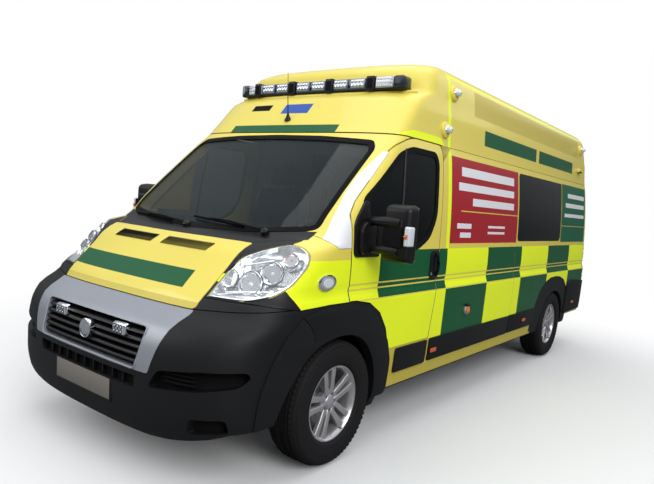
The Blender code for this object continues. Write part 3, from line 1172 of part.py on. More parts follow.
def wheel_set(corner, track, hub_face, along):
    """A tyre and a rim at one left wheel place."""
    middle = track * HALF
    half = TYRE_WIDTH * HALF
    bead = RIM_RADIUS + TOUCH
    tyre_profile = (
        (-TYRE_BEAD_HALF, bead), (-half, bead + TYRE_FLANK), (-half, TYRE_RADIUS - TYRE_FLANK),
        (-half + TYRE_CREST, TYRE_RADIUS - TYRE_CREST), (-half + TYRE_FLANK, TYRE_RADIUS),
        (half - TYRE_FLANK, TYRE_RADIUS), (half - TYRE_CREST, TYRE_RADIUS - TYRE_CREST),
        (half, TYRE_RADIUS - TYRE_FLANK), (half, bead + TYRE_FLANK), (TYRE_BEAD_HALF, bead),
    )
    centre = (middle, along, TYRE_RADIUS)
    tyre = turned("tyre", tyre_profile, centre)
    done("tyre_" + corner + "_left", tyre)
    inner = RIM_RADIUS - RIM_SKIN
    rim_profile = (
        (-RIM_HALF_WIDTH, RIM_RADIUS), (-RIM_HALF_WIDTH, inner), (RIM_HALF_WIDTH, inner),
        (RIM_HALF_WIDTH, RIM_RADIUS),
    )
    rim = turned("rim", rim_profile, centre)
    disc_in = hub_face - middle
    join(rim, cylinder("hub", (hub_face, along, TYRE_RADIUS), (hub_face + RIM_HUB_LONG, along, TYRE_RADIUS),
                       RIM_HUB_RADIUS))
    join(rim, cylinder("disc", (hub_face + TYRE_CREST, along, TYRE_RADIUS),
                       (hub_face + TYRE_CREST + SPOKE_LONG, along, TYRE_RADIUS), inner + RIM_SKIN * HALF,
                       WHEEL_STEPS))
    step = FULL_TURN / SPOKES
    pair_half = SPOKE_SPREAD + SPOKE_HALF
    slot_half = SPOKE_SPREAD - SPOKE_HALF
    for number in range(SPOKES):
        turn = step * number
        near = math.asin(pair_half / SPOKE_IN_RADIUS)
        far = math.asin(pair_half / SPOKE_OUT_RADIUS)
        spots = [(SPOKE_IN_RADIUS, near), (SPOKE_OUT_RADIUS, far), (SPOKE_OUT_RADIUS, step * HALF),
                 (SPOKE_OUT_RADIUS, step - far), (SPOKE_IN_RADIUS, step - near)]
        window = [(along + reach * math.sin(turn + angle), TYRE_RADIUS + reach * math.cos(turn + angle))
                  for reach, angle in spots]
        cut(rim, prism("window", window, "X", hub_face, FAR))
        near = math.asin(slot_half / SPOKE_IN_RADIUS)
        far = math.asin(slot_half / SPOKE_OUT_RADIUS)
        spots = [(SPOKE_IN_RADIUS, -near), (SPOKE_OUT_RADIUS, -far), (SPOKE_OUT_RADIUS, far),
                 (SPOKE_IN_RADIUS, near)]
        window = [(along + reach * math.sin(turn + angle), TYRE_RADIUS + reach * math.cos(turn + angle))
                  for reach, angle in spots]
        cut(rim, prism("slot", window, "X", hub_face, FAR))
    done("rim_" + corner + "_left", rim)
    on_right("tyre_" + corner + "_right", "tyre_" + corner + "_left")
    on_right("rim_" + corner + "_right", "rim_" + corner + "_left")


wheel_set("front", FRONT_TRACK, HUB_FACE_X, 0)
wheel_set("rear", REAR_TRACK, REAR_HUB_FACE_X, WHEELBASE)

# joint places, about the front axle
DOOR_HINGE = (DOOR_HINGE_X, DOOR_HINGE_Y, DOOR_BARREL_ZS[0])
REAR_DOOR_HINGE = (REAR_HINGE_X, REAR_HINGE_Y, REAR_DOOR_BOTTOM_Z)
BONNET_HINGE = (0, BONNET_HINGE_Y, BONNET_HINGE_Z)
ORIGINS = {
    "door_left": DOOR_HINGE, "door_glass_left": DOOR_HINGE, "mirror_left": DOOR_HINGE,
    "rear_door_left": REAR_DOOR_HINGE, "rear_window_left": REAR_DOOR_HINGE,
    "bonnet": BONNET_HINGE, "steering_wheel": tuple(wheel_centre),
    "knuckle_left": (KINGPIN_X, 0, TYRE_RADIUS),
    "tyre_front_left": (FRONT_TRACK * HALF, 0, TYRE_RADIUS),
    "rim_front_left": (FRONT_TRACK * HALF, 0, TYRE_RADIUS),
    "tyre_rear_left": (REAR_TRACK * HALF, WHEELBASE, TYRE_RADIUS),
    "rim_rear_left": (REAR_TRACK * HALF, WHEELBASE, TYRE_RADIUS),
}

# look of each kind of piece: colour, roughness, metallic
PALE_YELLOW = (0.90, 0.83, 0.35, 1)
CHARCOAL = (0.05, 0.05, 0.055, 1)
SILVER = (0.55, 0.56, 0.58, 1)
GLASS = (0.10, 0.13, 0.14, 1)
RED = (0.55, 0.03, 0.02, 1)
GREY = (0.25, 0.26, 0.27, 1)
CLEAR = (0.80, 0.82, 0.85, 1)
BLUE = (0.05, 0.12, 0.45, 1)
LOOKS = (
    ("tyre", (0.02, 0.02, 0.02, 1), 0.9, 0),
    ("rim", SILVER, 0.35, 1),
    ("window", GLASS, 0.1, 0),
    ("windscreen", GLASS, 0.1, 0),
    ("door_glass", GLASS, 0.1, 0),
    ("front_bumper", CHARCOAL, 0.6, 0),
    ("flare", CHARCOAL, 0.6, 0),
    ("scuttle", CHARCOAL, 0.6, 0),
    ("mirror", CHARCOAL, 0.5, 0),
    ("grille_surround", SILVER, 0.4, 0),
    ("grille", CHARCOAL, 0.5, 0),
    ("headlight", CLEAR, 0.15, 0),
    ("rear_lamp", RED, 0.2, 0),
    ("light_bar", BLUE, 0.2, 0),
    ("seat", BLUE, 0.8, 0),
    ("dashboard", GREY, 0.7, 0),
    ("steering_wheel", CHARCOAL, 0.6, 0),
    ("floor", GREY, 0.7, 0),
    ("bulkhead", GREY, 0.6, 0),
    ("locker", CLEAR, 0.5, 0),
    ("stretcher", RED, 0.6, 0),
    ("rear_step", SILVER, 0.4, 1),
    ("knuckle", GREY, 0.4, 1),
    ("front_subframe", GREY, 0.5, 1),
    ("rear_axle", GREY, 0.5, 1),
    ("engine", GREY, 0.5, 1),
    ("exhaust", SILVER, 0.5, 1),
)


def look(thing):
    colour, rough, metal = PALE_YELLOW, HALF, 0
    for start, its_colour, its_rough, its_metal in LOOKS:
        if thing.name.startswith(start) or (start == "window" and start in thing.name):
            colour, rough, metal = its_colour, its_rough, its_metal
            break
    material = bpy.data.materials.new(thing.name)
    material.use_nodes = True
    shader = material.node_tree.nodes["Principled BSDF"]
    shader.inputs["Base Color"].default_value = colour
    shader.inputs["Roughness"].default_value = rough
    shader.inputs["Metallic"].default_value = metal
    thing.data.materials.clear()
    thing.data.materials.append(material)


bpy.data.objects.remove(skin, do_unlink=True)
for name, thing in nodes.items():
    origin = ORIGINS.get(name)
    if origin is None and name.endswith("_right"):
        twin_origin = ORIGINS.get(name.replace("_right", "_left"))
        if twin_origin is not None:
            origin = (-twin_origin[0], twin_origin[1], twin_origin[2])
    origin = Vector(origin) if origin is not None else Vector((0, 0, 0))
    thing.data.transform(Matrix.Translation(-origin))
    thing.location = origin + Vector((0, FRONT_AXLE_Y, 0))
    look(thing)
    if name.startswith(("tyre", "rim", "steering_wheel", "exhaust", "knuckle")):
        for face in thing.data.polygons:
            face.use_smooth = True
        thing.data.set_sharp_from_angle(angle=math.radians(35))
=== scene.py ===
import math

import bmesh
import bpy
from mathutils import Matrix, Vector
from mathutils.bvhtree import BVHTree


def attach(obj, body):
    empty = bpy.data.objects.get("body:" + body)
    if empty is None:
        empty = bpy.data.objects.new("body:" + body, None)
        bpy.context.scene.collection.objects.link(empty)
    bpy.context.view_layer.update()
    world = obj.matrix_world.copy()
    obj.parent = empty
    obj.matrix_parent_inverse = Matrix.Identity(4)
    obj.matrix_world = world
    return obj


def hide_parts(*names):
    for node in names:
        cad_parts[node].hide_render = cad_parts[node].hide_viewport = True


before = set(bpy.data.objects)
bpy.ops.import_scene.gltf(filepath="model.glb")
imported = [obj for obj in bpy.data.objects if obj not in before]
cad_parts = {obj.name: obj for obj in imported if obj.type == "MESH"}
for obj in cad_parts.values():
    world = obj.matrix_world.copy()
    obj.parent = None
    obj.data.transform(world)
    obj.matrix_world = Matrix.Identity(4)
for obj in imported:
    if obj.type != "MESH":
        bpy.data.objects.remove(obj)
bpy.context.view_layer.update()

# The visual model of a long panel-van ambulance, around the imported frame. Lengths are metres. A piece is
# built about the front axle, with y to the back, and place moves it by AXLE into the frame. The outlines
# are shares of the sizes below, as in the solids.
LENGTH, WHEELBASE, HEIGHT, HALF_WIDTH, OVERHANG, TYRE_R = 6.285, 4.035, 2.60, 1.022, 0.985, 0.365
AXLE = OVERHANG - LENGTH / 2
TAIL = WHEELBASE + 1.200
FAR = 3.0
# hull slices: height share, half width share, nose set-back share, corner depth share, tail lean share
HULL_SHARES = (
    (0.0923, 0.9344, 0.0357, 0.84, 0.0), (0.1269, 0.9638, 0.0119, 0.92, 0.0),
    (0.1731, 0.9785, 0.002, 0.96, 0.0), (0.2385, 0.9883, 0.0, 1.0, 0.0), (0.2808, 0.9912, 0.0052, 1.0, 0.0),
    (0.3192, 0.9941, 0.0238, 0.98, 0.0), (0.3577, 0.9961, 0.0813, 0.92, 0.0),
    (0.3673, 0.9961, 0.0873, 0.9, 0.0), (0.3923, 0.9765, 0.1111, 0.9, 0.0028),
    (0.4038, 0.9824, 0.1222, 0.9, 0.0071), (0.4346, 0.9843, 0.1528, 0.88, 0.0185),
    (0.4635, 0.9824, 0.1806, 0.86, 0.0292), (0.4854, 0.9785, 0.2202, 0.8, 0.0373),
    (0.4962, 0.9765, 0.2738, 0.72, 0.0446), (0.5577, 0.9706, 0.3448, 0.6, 0.0934),
    (0.6154, 0.9618, 0.4095, 0.52, 0.1392), (0.6846, 0.9452, 0.4873, 0.48, 0.1941),
    (0.7481, 0.9247, 0.5607, 0.44, 0.2654), (0.7558, 0.9198, 0.5694, 0.44, 0.2808),
    (0.8077, 0.9061, 0.6151, 0.44, 0.3846), (0.8577, 0.8982, 0.6587, 0.44, 0.5262),
    (0.8692, 0.8924, 0.6687, 0.44, 0.5908), (0.8846, 0.8885, 0.6944, 0.44, 0.6769),
    (0.8981, 0.8845, 0.7321, 0.44, 0.7523), (0.9346, 0.8748, 0.7421, 0.48, 0.9569),
    (0.95, 0.8669, 0.746, 0.5, 1.0699), (0.9692, 0.8434, 0.7599, 0.5, 1.2448),
    (0.9846, 0.8023, 0.7917, 0.5, 1.3846), (0.9923, 0.7534, 0.8274, 0.5, 1.5),
    (0.9981, 0.6654, 0.8869, 0.5, 1.5865), (1.0, 0.4697, 0.9861, 0.5, 1.6154),
)
# front door outline: share of wheelbase behind the front axle, share of height
DOOR_SHARES = (
    (0.0991, 0.1615), (0.2632, 0.1615), (0.2664, 0.2308), (0.2793, 0.3846), (0.2828, 0.4808),
    (0.2875, 0.6731), (0.2875, 0.7423), (0.28, 0.7635), (0.1859, 0.7635), (0.1638, 0.7558), (0.1301, 0.7346),
    (0.0758, 0.6712), (0.06, 0.6462), (0.0186, 0.5885), (0.0124, 0.5577), (0.0124, 0.3269),
)
# front door window, same shares
DOOR_WINDOW_SHARES = (
    (0.0322, 0.4904), (0.2032, 0.4865), (0.2429, 0.5154), (0.2639, 0.5692), (0.2689, 0.7115),
    (0.2602, 0.7346), (0.1784, 0.7346), (0.1388, 0.7135), (0.0818, 0.6404), (0.0421, 0.5923),
)
# bumper and front flare outline, same shares
BUMPER_SHARES = (
    (-0.2974, 0.0577), (0.1165, 0.0577), (0.1219, 0.1312), (0.1269, 0.16), (0.1314, 0.2354), (0.1177, 0.2885),
    (0.0952, 0.3308), (0.0644, 0.3577), (0.0273, 0.3673), (-0.0372, 0.3673), (-0.0991, 0.3642),
    (-0.1537, 0.3762), (-0.2974, 0.3762),
)
# front wheel opening: share of the tyre radius behind the axle, share of the tyre radius up
FRONT_ARCH_SHARES = (
    (-1.5342, 0.0), (-1.4658, 0.6849), (-1.3973, 0.9863), (-1.2329, 1.3699), (-0.8877, 1.8411),
    (-0.4932, 2.0411), (0.0, 2.1151), (0.411, 2.0603), (0.7397, 1.8767), (0.9863, 1.5616), (1.1233, 1.1781),
    (1.1507, 0.8219), (1.1507, 0.0),
)
# front wing outline, same shares
WING_SHARES = (
    (-0.1983, 0.3462), (0.0496, 0.3462), (0.0116, 0.3846), (0.0116, 0.4854), (-0.0198, 0.4854),
    (-0.0471, 0.5231), (-0.1983, 0.5231),
)
# windscreen pillar outline, same shares
PILLAR_SHARES = (
    (-0.0347, 0.4827), (0.0991, 0.4827), (0.3222, 0.7631), (0.0743, 0.7631), (-0.0595, 0.5269),
    (-0.0595, 0.5),
)
# headlight seen from the side, same shares
HEADLIGHT_SIDE_SHARES = (
    (-0.223, 0.3788), (-0.1537, 0.3808), (-0.1289, 0.3923), (-0.1041, 0.4135), (-0.0793, 0.4481),
    (-0.0711, 0.4712), (-0.0711, 0.5038), (-0.223, 0.5038),
)
# rear flare outline, same shares
REAR_FLARE_SHARES = (
    (0.8287, 0.1269), (0.8352, 0.1923), (0.8525, 0.2538), (0.8798, 0.3038), (0.917, 0.3327), (0.9566, 0.3462),
    (0.9988, 0.3481), (1.0384, 0.3442), (1.083, 0.3262), (1.1252, 0.2769), (1.14, 0.2115), (1.145, 0.1269),
)
# rear wheel opening, same shares of the tyre radius
REAR_ARCH_SHARES = (
    (-1.1507, 0.0), (-1.1918, 0.9863), (-1.0822, 1.4247), (-0.8082, 1.7808), (-0.4247, 1.9863), (0.0, 2.0411),
    (0.4247, 1.9863), (0.8082, 1.7808), (1.0822, 1.4247), (1.1918, 0.9863), (1.1507, 0.0),
)
# side window behind the cab, same shares
SIDE_WINDOW_SHARES = (
    (0.6853, 0.5), (1.0112, 0.5), (1.0173, 0.5115), (1.0173, 0.7327), (1.0112, 0.7423), (0.6853, 0.7423),
    (0.6791, 0.7327), (0.6791, 0.5115),
)
# sliding door outline, same shares
SLIDING_DOOR_SHARES = (
    (0.3024, 0.1692), (0.6097, 0.1692), (0.6097, 0.7519), (0.3024, 0.7519),
)
# sliding door window, same shares
SLIDING_WINDOW_SHARES = (
    (0.347, 0.5038), (0.575, 0.5038), (0.575, 0.7231), (0.347, 0.7231),
)
# dashboard profile, same shares
DASH_SHARES = (
    (-0.0322, 0.3923), (0.0446, 0.3308), (0.0843, 0.3462), (0.0991, 0.4), (0.0991, 0.4462), (0.0818, 0.4808),
    (0.0297, 0.4904), (-0.0322, 0.4885),
)
# seat side profile, same shares
SEAT_SHARES = (
    (0.1264, 0.3308), (0.1388, 0.3077), (0.2528, 0.3077), (0.2627, 0.3769), (0.2776, 0.5462), (0.28, 0.6154),
    (0.2627, 0.6154), (0.2404, 0.5615), (0.2255, 0.4077), (0.1437, 0.4), (0.1239, 0.3769),
)
# bonnet from above: share of the half width, share of wheelbase behind the axle
BONNET_PLAN_SHARES = (
    (-0.7339, -0.2974), (0.7339, -0.2974), (0.7339, -0.0971), (0.6311, -0.0996), (0.4403, -0.1043),
    (0.1957, -0.1068), (0.0, -0.1073), (-0.1957, -0.1068), (-0.4403, -0.1043), (-0.6311, -0.0996),
    (-0.7339, -0.0971),
)
# headlight seen from the front: share of the half width, share of height
HEADLIGHT_FRONT_SHARES = (
    (0.6311, 0.3731), (1.1742, 0.3731), (1.1742, 0.5008), (0.8806, 0.5008), (0.7632, 0.4808),
    (0.6654, 0.4577), (0.6409, 0.4231),
)
# bonnet from the front, same shares
BONNET_SHARES = (
    (-0.6067, 0.3546), (0.6067, 0.3546), (0.6311, 0.4842), (0.6409, 0.5385), (-0.6409, 0.5385),
    (-0.6311, 0.4842),
)
# grille surround, same shares
SURROUND_SHARES = (
    (-0.5333, 0.2331), (0.5333, 0.2331), (0.5871, 0.3077), (0.6145, 0.3462), (0.6145, 0.3525),
    (-0.6145, 0.3525), (-0.6145, 0.3462), (-0.5871, 0.3077),
)
# grille opening, same shares
GRILLE_SHARES = (
    (-0.4452, 0.2392), (0.4452, 0.2392), (0.4746, 0.3192), (-0.4746, 0.3192),
)
# panel under the windscreen, same shares
SCUTTLE_SHARES = (
    (0.0, 0.4615), (0.635, 0.4615), (0.635, 0.4871), (0.6849, 0.4904), (0.8415, 0.5), (0.8513, 0.5173),
    (0.7828, 0.5154), (0.4892, 0.5019), (0.0, 0.4954), (-0.4892, 0.5019), (-0.7828, 0.5154),
    (-0.8513, 0.5173), (-0.8415, 0.5), (-0.6849, 0.4904), (-0.635, 0.4871), (-0.635, 0.4615),
)
# windscreen, same shares
WINDSCREEN_SHARES = (
    (0.0, 0.4956), (0.4892, 0.5022), (0.7828, 0.5156), (0.8493, 0.5238), (0.8297, 0.7231), (0.7828, 0.7442),
    (0.3914, 0.7531), (0.0, 0.7558), (-0.3914, 0.7531), (-0.7828, 0.7442), (-0.8297, 0.7231),
    (-0.8493, 0.5238), (-0.7828, 0.5156), (-0.4892, 0.5022),
)
POWER, CORNER = 3.2, 0.10
NOSE_REACH, NOSE_DEPTH, TAIL_LEAN = 2.52, 0.50, 0.13
# columns: height, half width, nose, nose depth, tail
ROWS = [(height * HEIGHT, width * HALF_WIDTH, setback * NOSE_REACH - OVERHANG, corner * NOSE_DEPTH,
         TAIL - lean * TAIL_LEAN) for height, width, setback, corner, lean in HULL_SHARES]
COLS = list(zip(*ROWS))
ZS = COLS[0]


def at(z, *cols):
    """Values of the table at height z, smooth, through the rows and with no overshoot."""
    last = len(ZS) - 1
    if z <= ZS[0] or z >= ZS[last]:
        found = [COLS[col][0 if z <= ZS[0] else last] for col in cols]
        return found if len(found) > 1 else found[0]
    k = next(i for i in range(last) if ZS[i + 1] >= z)
    h = ZS[k + 1] - ZS[k]
    t = (z - ZS[k]) / h
    found = []
    for col in cols:
        ys = COLS[col]

        def slope(i):
            i = max(0, min(i, last - 1))
            return (ys[i + 1] - ys[i]) / (ZS[i + 1] - ZS[i])

        def tangent(i):
            a, b = slope(i - 1), slope(i)
            return 2 * a * b / (a + b) if a * b > 0 else 0.0

        found.append((1 + 2 * t) * (1 - t) ** 2 * ys[k] + t * (1 - t) ** 2 * h * tangent(k)
                     + t * t * (3 - 2 * t) * ys[k + 1] + t * t * (t - 1) * h * tangent(k + 1))
    return found if len(found) > 1 else found[0]


def side_x(y, z):
    """Half width of the outer shape at y behind the front axle and height z."""
    half, nose, depth, tail = at(z, 1, 2, 3, 4)
    if y < nose + depth:
        s = max(0.0, min(1.0, (nose + depth - y) / depth))
        return half * max(0.0, 1 - s ** POWER) ** (1 / POWER)
    if y > tail - CORNER:
        v = min(1.0, (y - tail + CORNER) / CORNER)
        return half - CORNER * (1 - math.sqrt(max(0.0, 1 - v * v)))
    return half


def front_y(x, z):
    """Front of the outer shape at x and height z."""
    half, nose, depth = at(z, 1, 2, 3)
    s = min(1.0, abs(x) / half)
    return nose + depth * (1 - max(0.0, 1 - s ** POWER) ** (1 / POWER))


def tail_y(x, z):
    """Back of the outer shape at x and height z."""
    half, tail = at(z, 1, 4)
    u = max(0.0, abs(x) - (half - CORNER))
    return tail - CORNER + math.sqrt(max(0.0, CORNER ** 2 - u * u))


NOSE_STEPS, TAIL_STEPS, LEVEL_STEP = 26, 6, 0.03
LEVELS = []
for i in range(len(ZS) - 1):
    gap = ZS[i + 1] - ZS[i]
    count = 5 if i >= len(ZS) - 4 else max(1, min(6, int(round(gap / LEVEL_STEP))))
    LEVELS += [ZS[i] + gap * k / count for k in range(count)]
LEVELS.append(ZS[-1])


def hull(inset=0.0, drop=None):
    """The closed outer shape, set in by inset and let down by drop, which is the same unless given."""
    drop = inset if drop is None else drop
    rings = []
    for z in LEVELS:
        half, nose, depth, tail = at(z, 1, 2, 3, 4)
        half, nose, tail = half - inset, nose + inset, tail - inset
        left = []
        for i in range(NOSE_STEPS + 1):
            angle = math.pi / 2 * i / NOSE_STEPS
            # even steps along the curve
            back = 1 - max(math.cos(angle), 0.0) ** (2 / POWER)
            left.append((half * math.sin(angle) ** (2 / POWER), nose + depth * back, z - drop))
        for i in range(TAIL_STEPS + 1):
            angle = math.pi / 2 * i / TAIL_STEPS
            left.append((half - CORNER * (1 - math.cos(angle)), tail - CORNER * (1 - math.sin(angle)),
                         z - drop))
        rings.append(left + [(-x, y, h) for x, y, h in reversed(left[1:])])
    count = len(rings[0])
    faces = [list(range(count)), list(range(count * (len(rings) - 1), count * len(rings)))]
    for level in range(len(rings) - 1):
        for i in range(count):
            after, a, b = (i + 1) % count, level * count, level * count + count
            faces += [[a + i, a + after, b + after], [a + i, b + after, b + i]]
    return raw([p for ring in rings for p in ring], faces)


# making and cutting meshes
def link(thing):
    bpy.context.scene.collection.objects.link(thing)
    return thing


def edited(thing, *changes):
    """Run changes on the mesh's editable form."""
    shape = bmesh.new()
    shape.from_mesh(thing.data)
    for change in changes:
        change(shape)
    shape.to_mesh(thing.data)
    shape.free()
    return thing


def face_out(shape):
    bmesh.ops.recalc_face_normals(shape, faces=shape.faces)


def raw(points, faces, recalc=True, name="shape"):
    mesh = bpy.data.meshes.new(name)
    mesh.from_pydata([tuple(p) for p in points], [], faces)
    thing = link(bpy.data.objects.new(name, mesh))
    return edited(thing, face_out) if recalc else thing


def copy_of(thing):
    return link(bpy.data.objects.new("copy", thing.data.copy()))


def apply_all(thing):
    """Keep the modifiers' result as the mesh itself."""
    bpy.context.view_layer.update()
    graph = bpy.context.evaluated_depsgraph_get()
    fresh = bpy.data.meshes.new_from_object(thing.evaluated_get(graph))
    thing.modifiers.clear()
    thing.data = fresh
    return thing


def combine(target, tools, operation):
    for tool in tools:
        modifier = target.modifiers.new("combine", "BOOLEAN")
        modifier.operation, modifier.solver, modifier.object = operation, "EXACT", tool
        apply_all(target)
        bpy.data.objects.remove(tool, do_unlink=True)
    return target


def cut(target, *tools):
    return combine(target, tools, "DIFFERENCE")


def keep(target, *tools):
    return combine(target, tools, "INTERSECT")


def join(target, *tools):
    return combine(target, tools, "UNION")


def ring_faces(start, after, count, closed=True):
    """Faces between two rings of points."""
    return [[start + i, start + (i + 1) % count, after + (i + 1) % count, after + i]
            for i in range(count if closed else count - 1)]


def prism(points, axis, low, high):
    """An outline drawn along an axis."""
    spot = {"X": lambda a, b, h: (h, a, b), "Y": lambda a, b, h: (a, h, b),
            "Z": lambda a, b, h: (a, b, h)}[axis]
    count = len(points)
    ends = [list(range(count)), list(range(count, count * 2))]
    return raw([spot(a, b, h) for h in (low, high) for a, b in points], ends + ring_faces(0, count, count))


def grown(points, amount):
    """The outline moved out by amount."""
    count = len(points)
    area = sum(points[i][0] * points[(i + 1) % count][1] - points[(i + 1) % count][0] * points[i][1]
               for i in range(count))
    turn = 1 if area > 0 else -1
    result = []
    for i in range(count):
        here = Vector(points[i])
        before = (here - Vector(points[i - 1])).normalized()
        after = (Vector(points[(i + 1) % count]) - here).normalized()
        a, b = Vector((before.y, -before.x)) * turn, Vector((after.y, -after.x)) * turn
        result.append(tuple(here + (a + b) * (amount / (1 + a.dot(b)))))
    return result


def rounded(points, radius, steps=4):
    """The outline with its corners rounded."""
    count = len(points)
    result = []
    for i in range(count):
        here, before, after = Vector(points[i]), Vector(points[i - 1]), Vector(points[(i + 1) % count])
        r = min(radius, (here - before).length * 0.45, (here - after).length * 0.45)
        p = here + (before - here).normalized() * r
        q = here + (after - here).normalized() * r
        for k in range(steps + 1):
            t = k / steps
            result.append(tuple(p * (1 - t) ** 2 + here * (2 * t * (1 - t)) + q * t * t))
    return result


def metres(shares, across):
    return [(a * across, z * HEIGHT) for a, z in shares]


def drawn(points, axis, grow, low, high, round_by):
    points = rounded(points, round_by) if round_by else points
    return prism(grown(points, grow) if grow else points, axis, low, high)


def slab(shares, grow=0.0, low=-FAR, high=FAR, round_by=0.0):
    """An outline seen from the side, through the body."""
    return drawn(metres(shares, WHEELBASE), "X", grow, low, high, round_by)


def plug(shares, grow=0.0, low=-FAR, high=FAR, round_by=0.0):
    """An outline seen from the front, driven into the body."""
    return drawn(metres(shares, HALF_WIDTH), "Y", grow, low, high, round_by)


def arch(shares, axle_y):
    points = [(axle_y + y * TYRE_R, z * TYRE_R) for y, z in shares]
    return prism(rounded(points, 0.08), "X", -FAR, FAR)


def box(x0, y0, z0, x1, y1, z1):
    x0, x1 = sorted((x0, x1))
    return prism([(x0, y0), (x1, y0), (x1, y1), (x0, y1)], "Z", z0, z1)


def bevel(thing, width, segments=3, angle=30):
    modifier = thing.modifiers.new("bevel", "BEVEL")
    modifier.width, modifier.segments, modifier.use_clamp_overlap = width, segments, True
    modifier.limit_method, modifier.angle_limit = "ANGLE", math.radians(angle)
    return apply_all(thing)


def circle(turn, radius, steps, flat=1.0, along=0.0):
    for i in range(steps):
        a = math.tau * i / steps
        yield turn @ Vector((radius * math.cos(a), radius * flat * math.sin(a), along))


def lathe(profile, origin, axis, steps=48, closed=False):
    """Profile of (along, radius) turned round an axis through origin."""
    turn, count = Vector(axis).normalized().to_track_quat("Z", "Y"), len(profile)
    rings = [list(circle(turn, r, steps, 1.0, h)) for h, r in profile]
    points = [Vector(origin) + ring[i] for i in range(steps) for ring in rings]
    faces = []
    for i in range(steps):
        faces += [[a, b, c, d] for a, d, c, b in ring_faces(i * count, (i + 1) % steps * count, count, closed)]
    if not closed:
        faces += [[i * count + end for i in range(steps)] for end in (0, count - 1)]
    return raw(points, faces)


def tube(path, radius, sides=12, flat=1.0):
    """A round bar along a path of points, with one radius or one for each point."""
    path = [Vector(p) for p in path]
    last, points, faces = len(path) - 1, [], []
    for i, p in enumerate(path):
        turn = (path[min(i + 1, last)] - path[max(i - 1, 0)]).normalized().to_track_quat("Z", "Y")
        points += [p + q for q in circle(turn, radius[i] if isinstance(radius, list) else radius, sides, flat)]
    for i in range(last):
        faces += ring_faces(i * sides, (i + 1) * sides, sides)
    return raw(points, faces + [list(range(sides)), list(range(last * sides, (last + 1) * sides))])


def smooth(thing, angle=35):
    for face in thing.data.polygons:
        face.use_smooth = True
    thing.data.set_sharp_from_angle(angle=math.radians(angle))
    return thing


def as_mat(thing, mat):
    thing.data.materials.clear()
    thing.data.materials.append(mat)
    return thing


def soft_box(x0, y0, z0, x1, y1, z1, mat, width=0.004, segments=3):
    return as_mat(smooth(bevel(box(x0, y0, z0, x1, y1, z1), width, segments)), mat)


def round_bar(start, end, radius, mat, sides=32):
    return as_mat(smooth(tube([start, end], radius, sides)), mat)


def turned(profile, origin, axis, mat, steps=48, closed=False):
    return as_mat(smooth(lathe(profile, origin, axis, steps, closed)), mat)


def rod(path, radius, mat, sides=12, flat=1.0):
    return as_mat(smooth(tube(path, radius, sides, flat), 50), mat)


def merged(things):
    """Several meshes as one object, each keeping its materials."""
    shape, mesh, mats = bmesh.new(), bpy.data.meshes.new("merged"), []
    for thing in things:
        for mat in thing.data.materials:
            if mat not in mats:
                mats.append(mat)
        indices = [mats.index(mat) for mat in thing.data.materials]
        for face in thing.data.polygons:
            face.material_index = indices[min(face.material_index, len(indices) - 1)]
        shape.from_mesh(thing.data)
    shape.to_mesh(mesh)
    shape.free()
    for mat in mats:
        mesh.materials.append(mat)
    for thing in things:
        bpy.data.objects.remove(thing, do_unlink=True)
    return link(bpy.data.objects.new("merged", mesh))


def mirrored(thing):
    def turn_over(shape):
        for v in shape.verts:
            v.co.x = -v.co.x
        bmesh.ops.reverse_faces(shape, faces=shape.faces)
    return edited(copy_of(thing), turn_over)


def set_on(thing, spot, way):
    """Stand a piece made about the origin, facing x, on a spot of the body."""
    thing.data.transform(Matrix.Translation(spot) @ way.to_track_quat("X", "Z").to_matrix().to_4x4())
    return thing


def place(thing, name, body="body", node=None, mat=None):
    """Move a piece, or a list of parts, from the front axle's place into the frame, to ride on a body."""
    thing = merged(thing) if isinstance(thing, list) else thing
    thing.name = name
    thing.data.name = name
    if mat:
        as_mat(thing, mat)
    thing.data.transform(Matrix.Translation((0, AXLE, 0)))
    if node:
        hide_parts(node)
    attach(thing, body)
    return thing


# finishes
def finish_of(name, colour, rough=0.5, metal=0.0, coat=0.0, bump=0.0, scale=200.0, vary=0.0, alpha=1.0,
              glow=0.0, ior=1.45, spec=0.5):
    """A principled material with a little noise in its colour and roughness, and a grain."""
    mat = bpy.data.materials.new(name)
    mat.use_nodes = True
    nodes, links = mat.node_tree.nodes, mat.node_tree.links
    shader = nodes["Principled BSDF"]
    settings = {"Base Color": (*colour, 1), "Roughness": rough, "Metallic": metal, "Coat Weight": coat,
                "Coat Roughness": 0.06, "IOR": ior, "Alpha": alpha, "Specular IOR Level": spec}
    if glow:
        settings.update({"Emission Color": (*colour, 1), "Emission Strength": glow})
    for key, value in settings.items():
        shader.inputs[key].default_value = value
    where = nodes.new("ShaderNodeTexCoord")

    def noise(size, detail):
        node = nodes.new("ShaderNodeTexNoise")
        node.inputs["Scale"].default_value, node.inputs["Detail"].default_value = size, detail
        links.new(where.outputs["Object"], node.inputs["Vector"])
        return node.outputs["Fac"]

    if vary:
        cloud, mix, spread = noise(3.0, 6.0), nodes.new("ShaderNodeMix"), nodes.new("ShaderNodeMapRange")
        mix.data_type = "RGBA"
        for slot_number, share in ((6, 1 - vary), (7, 1 + vary)):
            mix.inputs[slot_number].default_value = (*[min(1.0, c * share) for c in colour], 1)
        spread.inputs["To Min"].default_value = max(0.02, rough - 0.08)
        spread.inputs["To Max"].default_value = min(1.0, rough + 0.10)
        links.new(cloud, mix.inputs[0])
        links.new(mix.outputs[2], shader.inputs["Base Color"])
        links.new(cloud, spread.inputs["Value"])
        links.new(spread.outputs["Result"], shader.inputs["Roughness"])
    if bump:
        bumps = nodes.new("ShaderNodeBump")
        bumps.inputs["Strength"].default_value, bumps.inputs["Distance"].default_value = bump, 0.002
        links.new(noise(scale, 2.0), bumps.inputs["Height"])
        links.new(bumps.outputs["Normal"], shader.inputs["Normal"])
    mat.diffuse_color = (*colour, 1)
    return mat


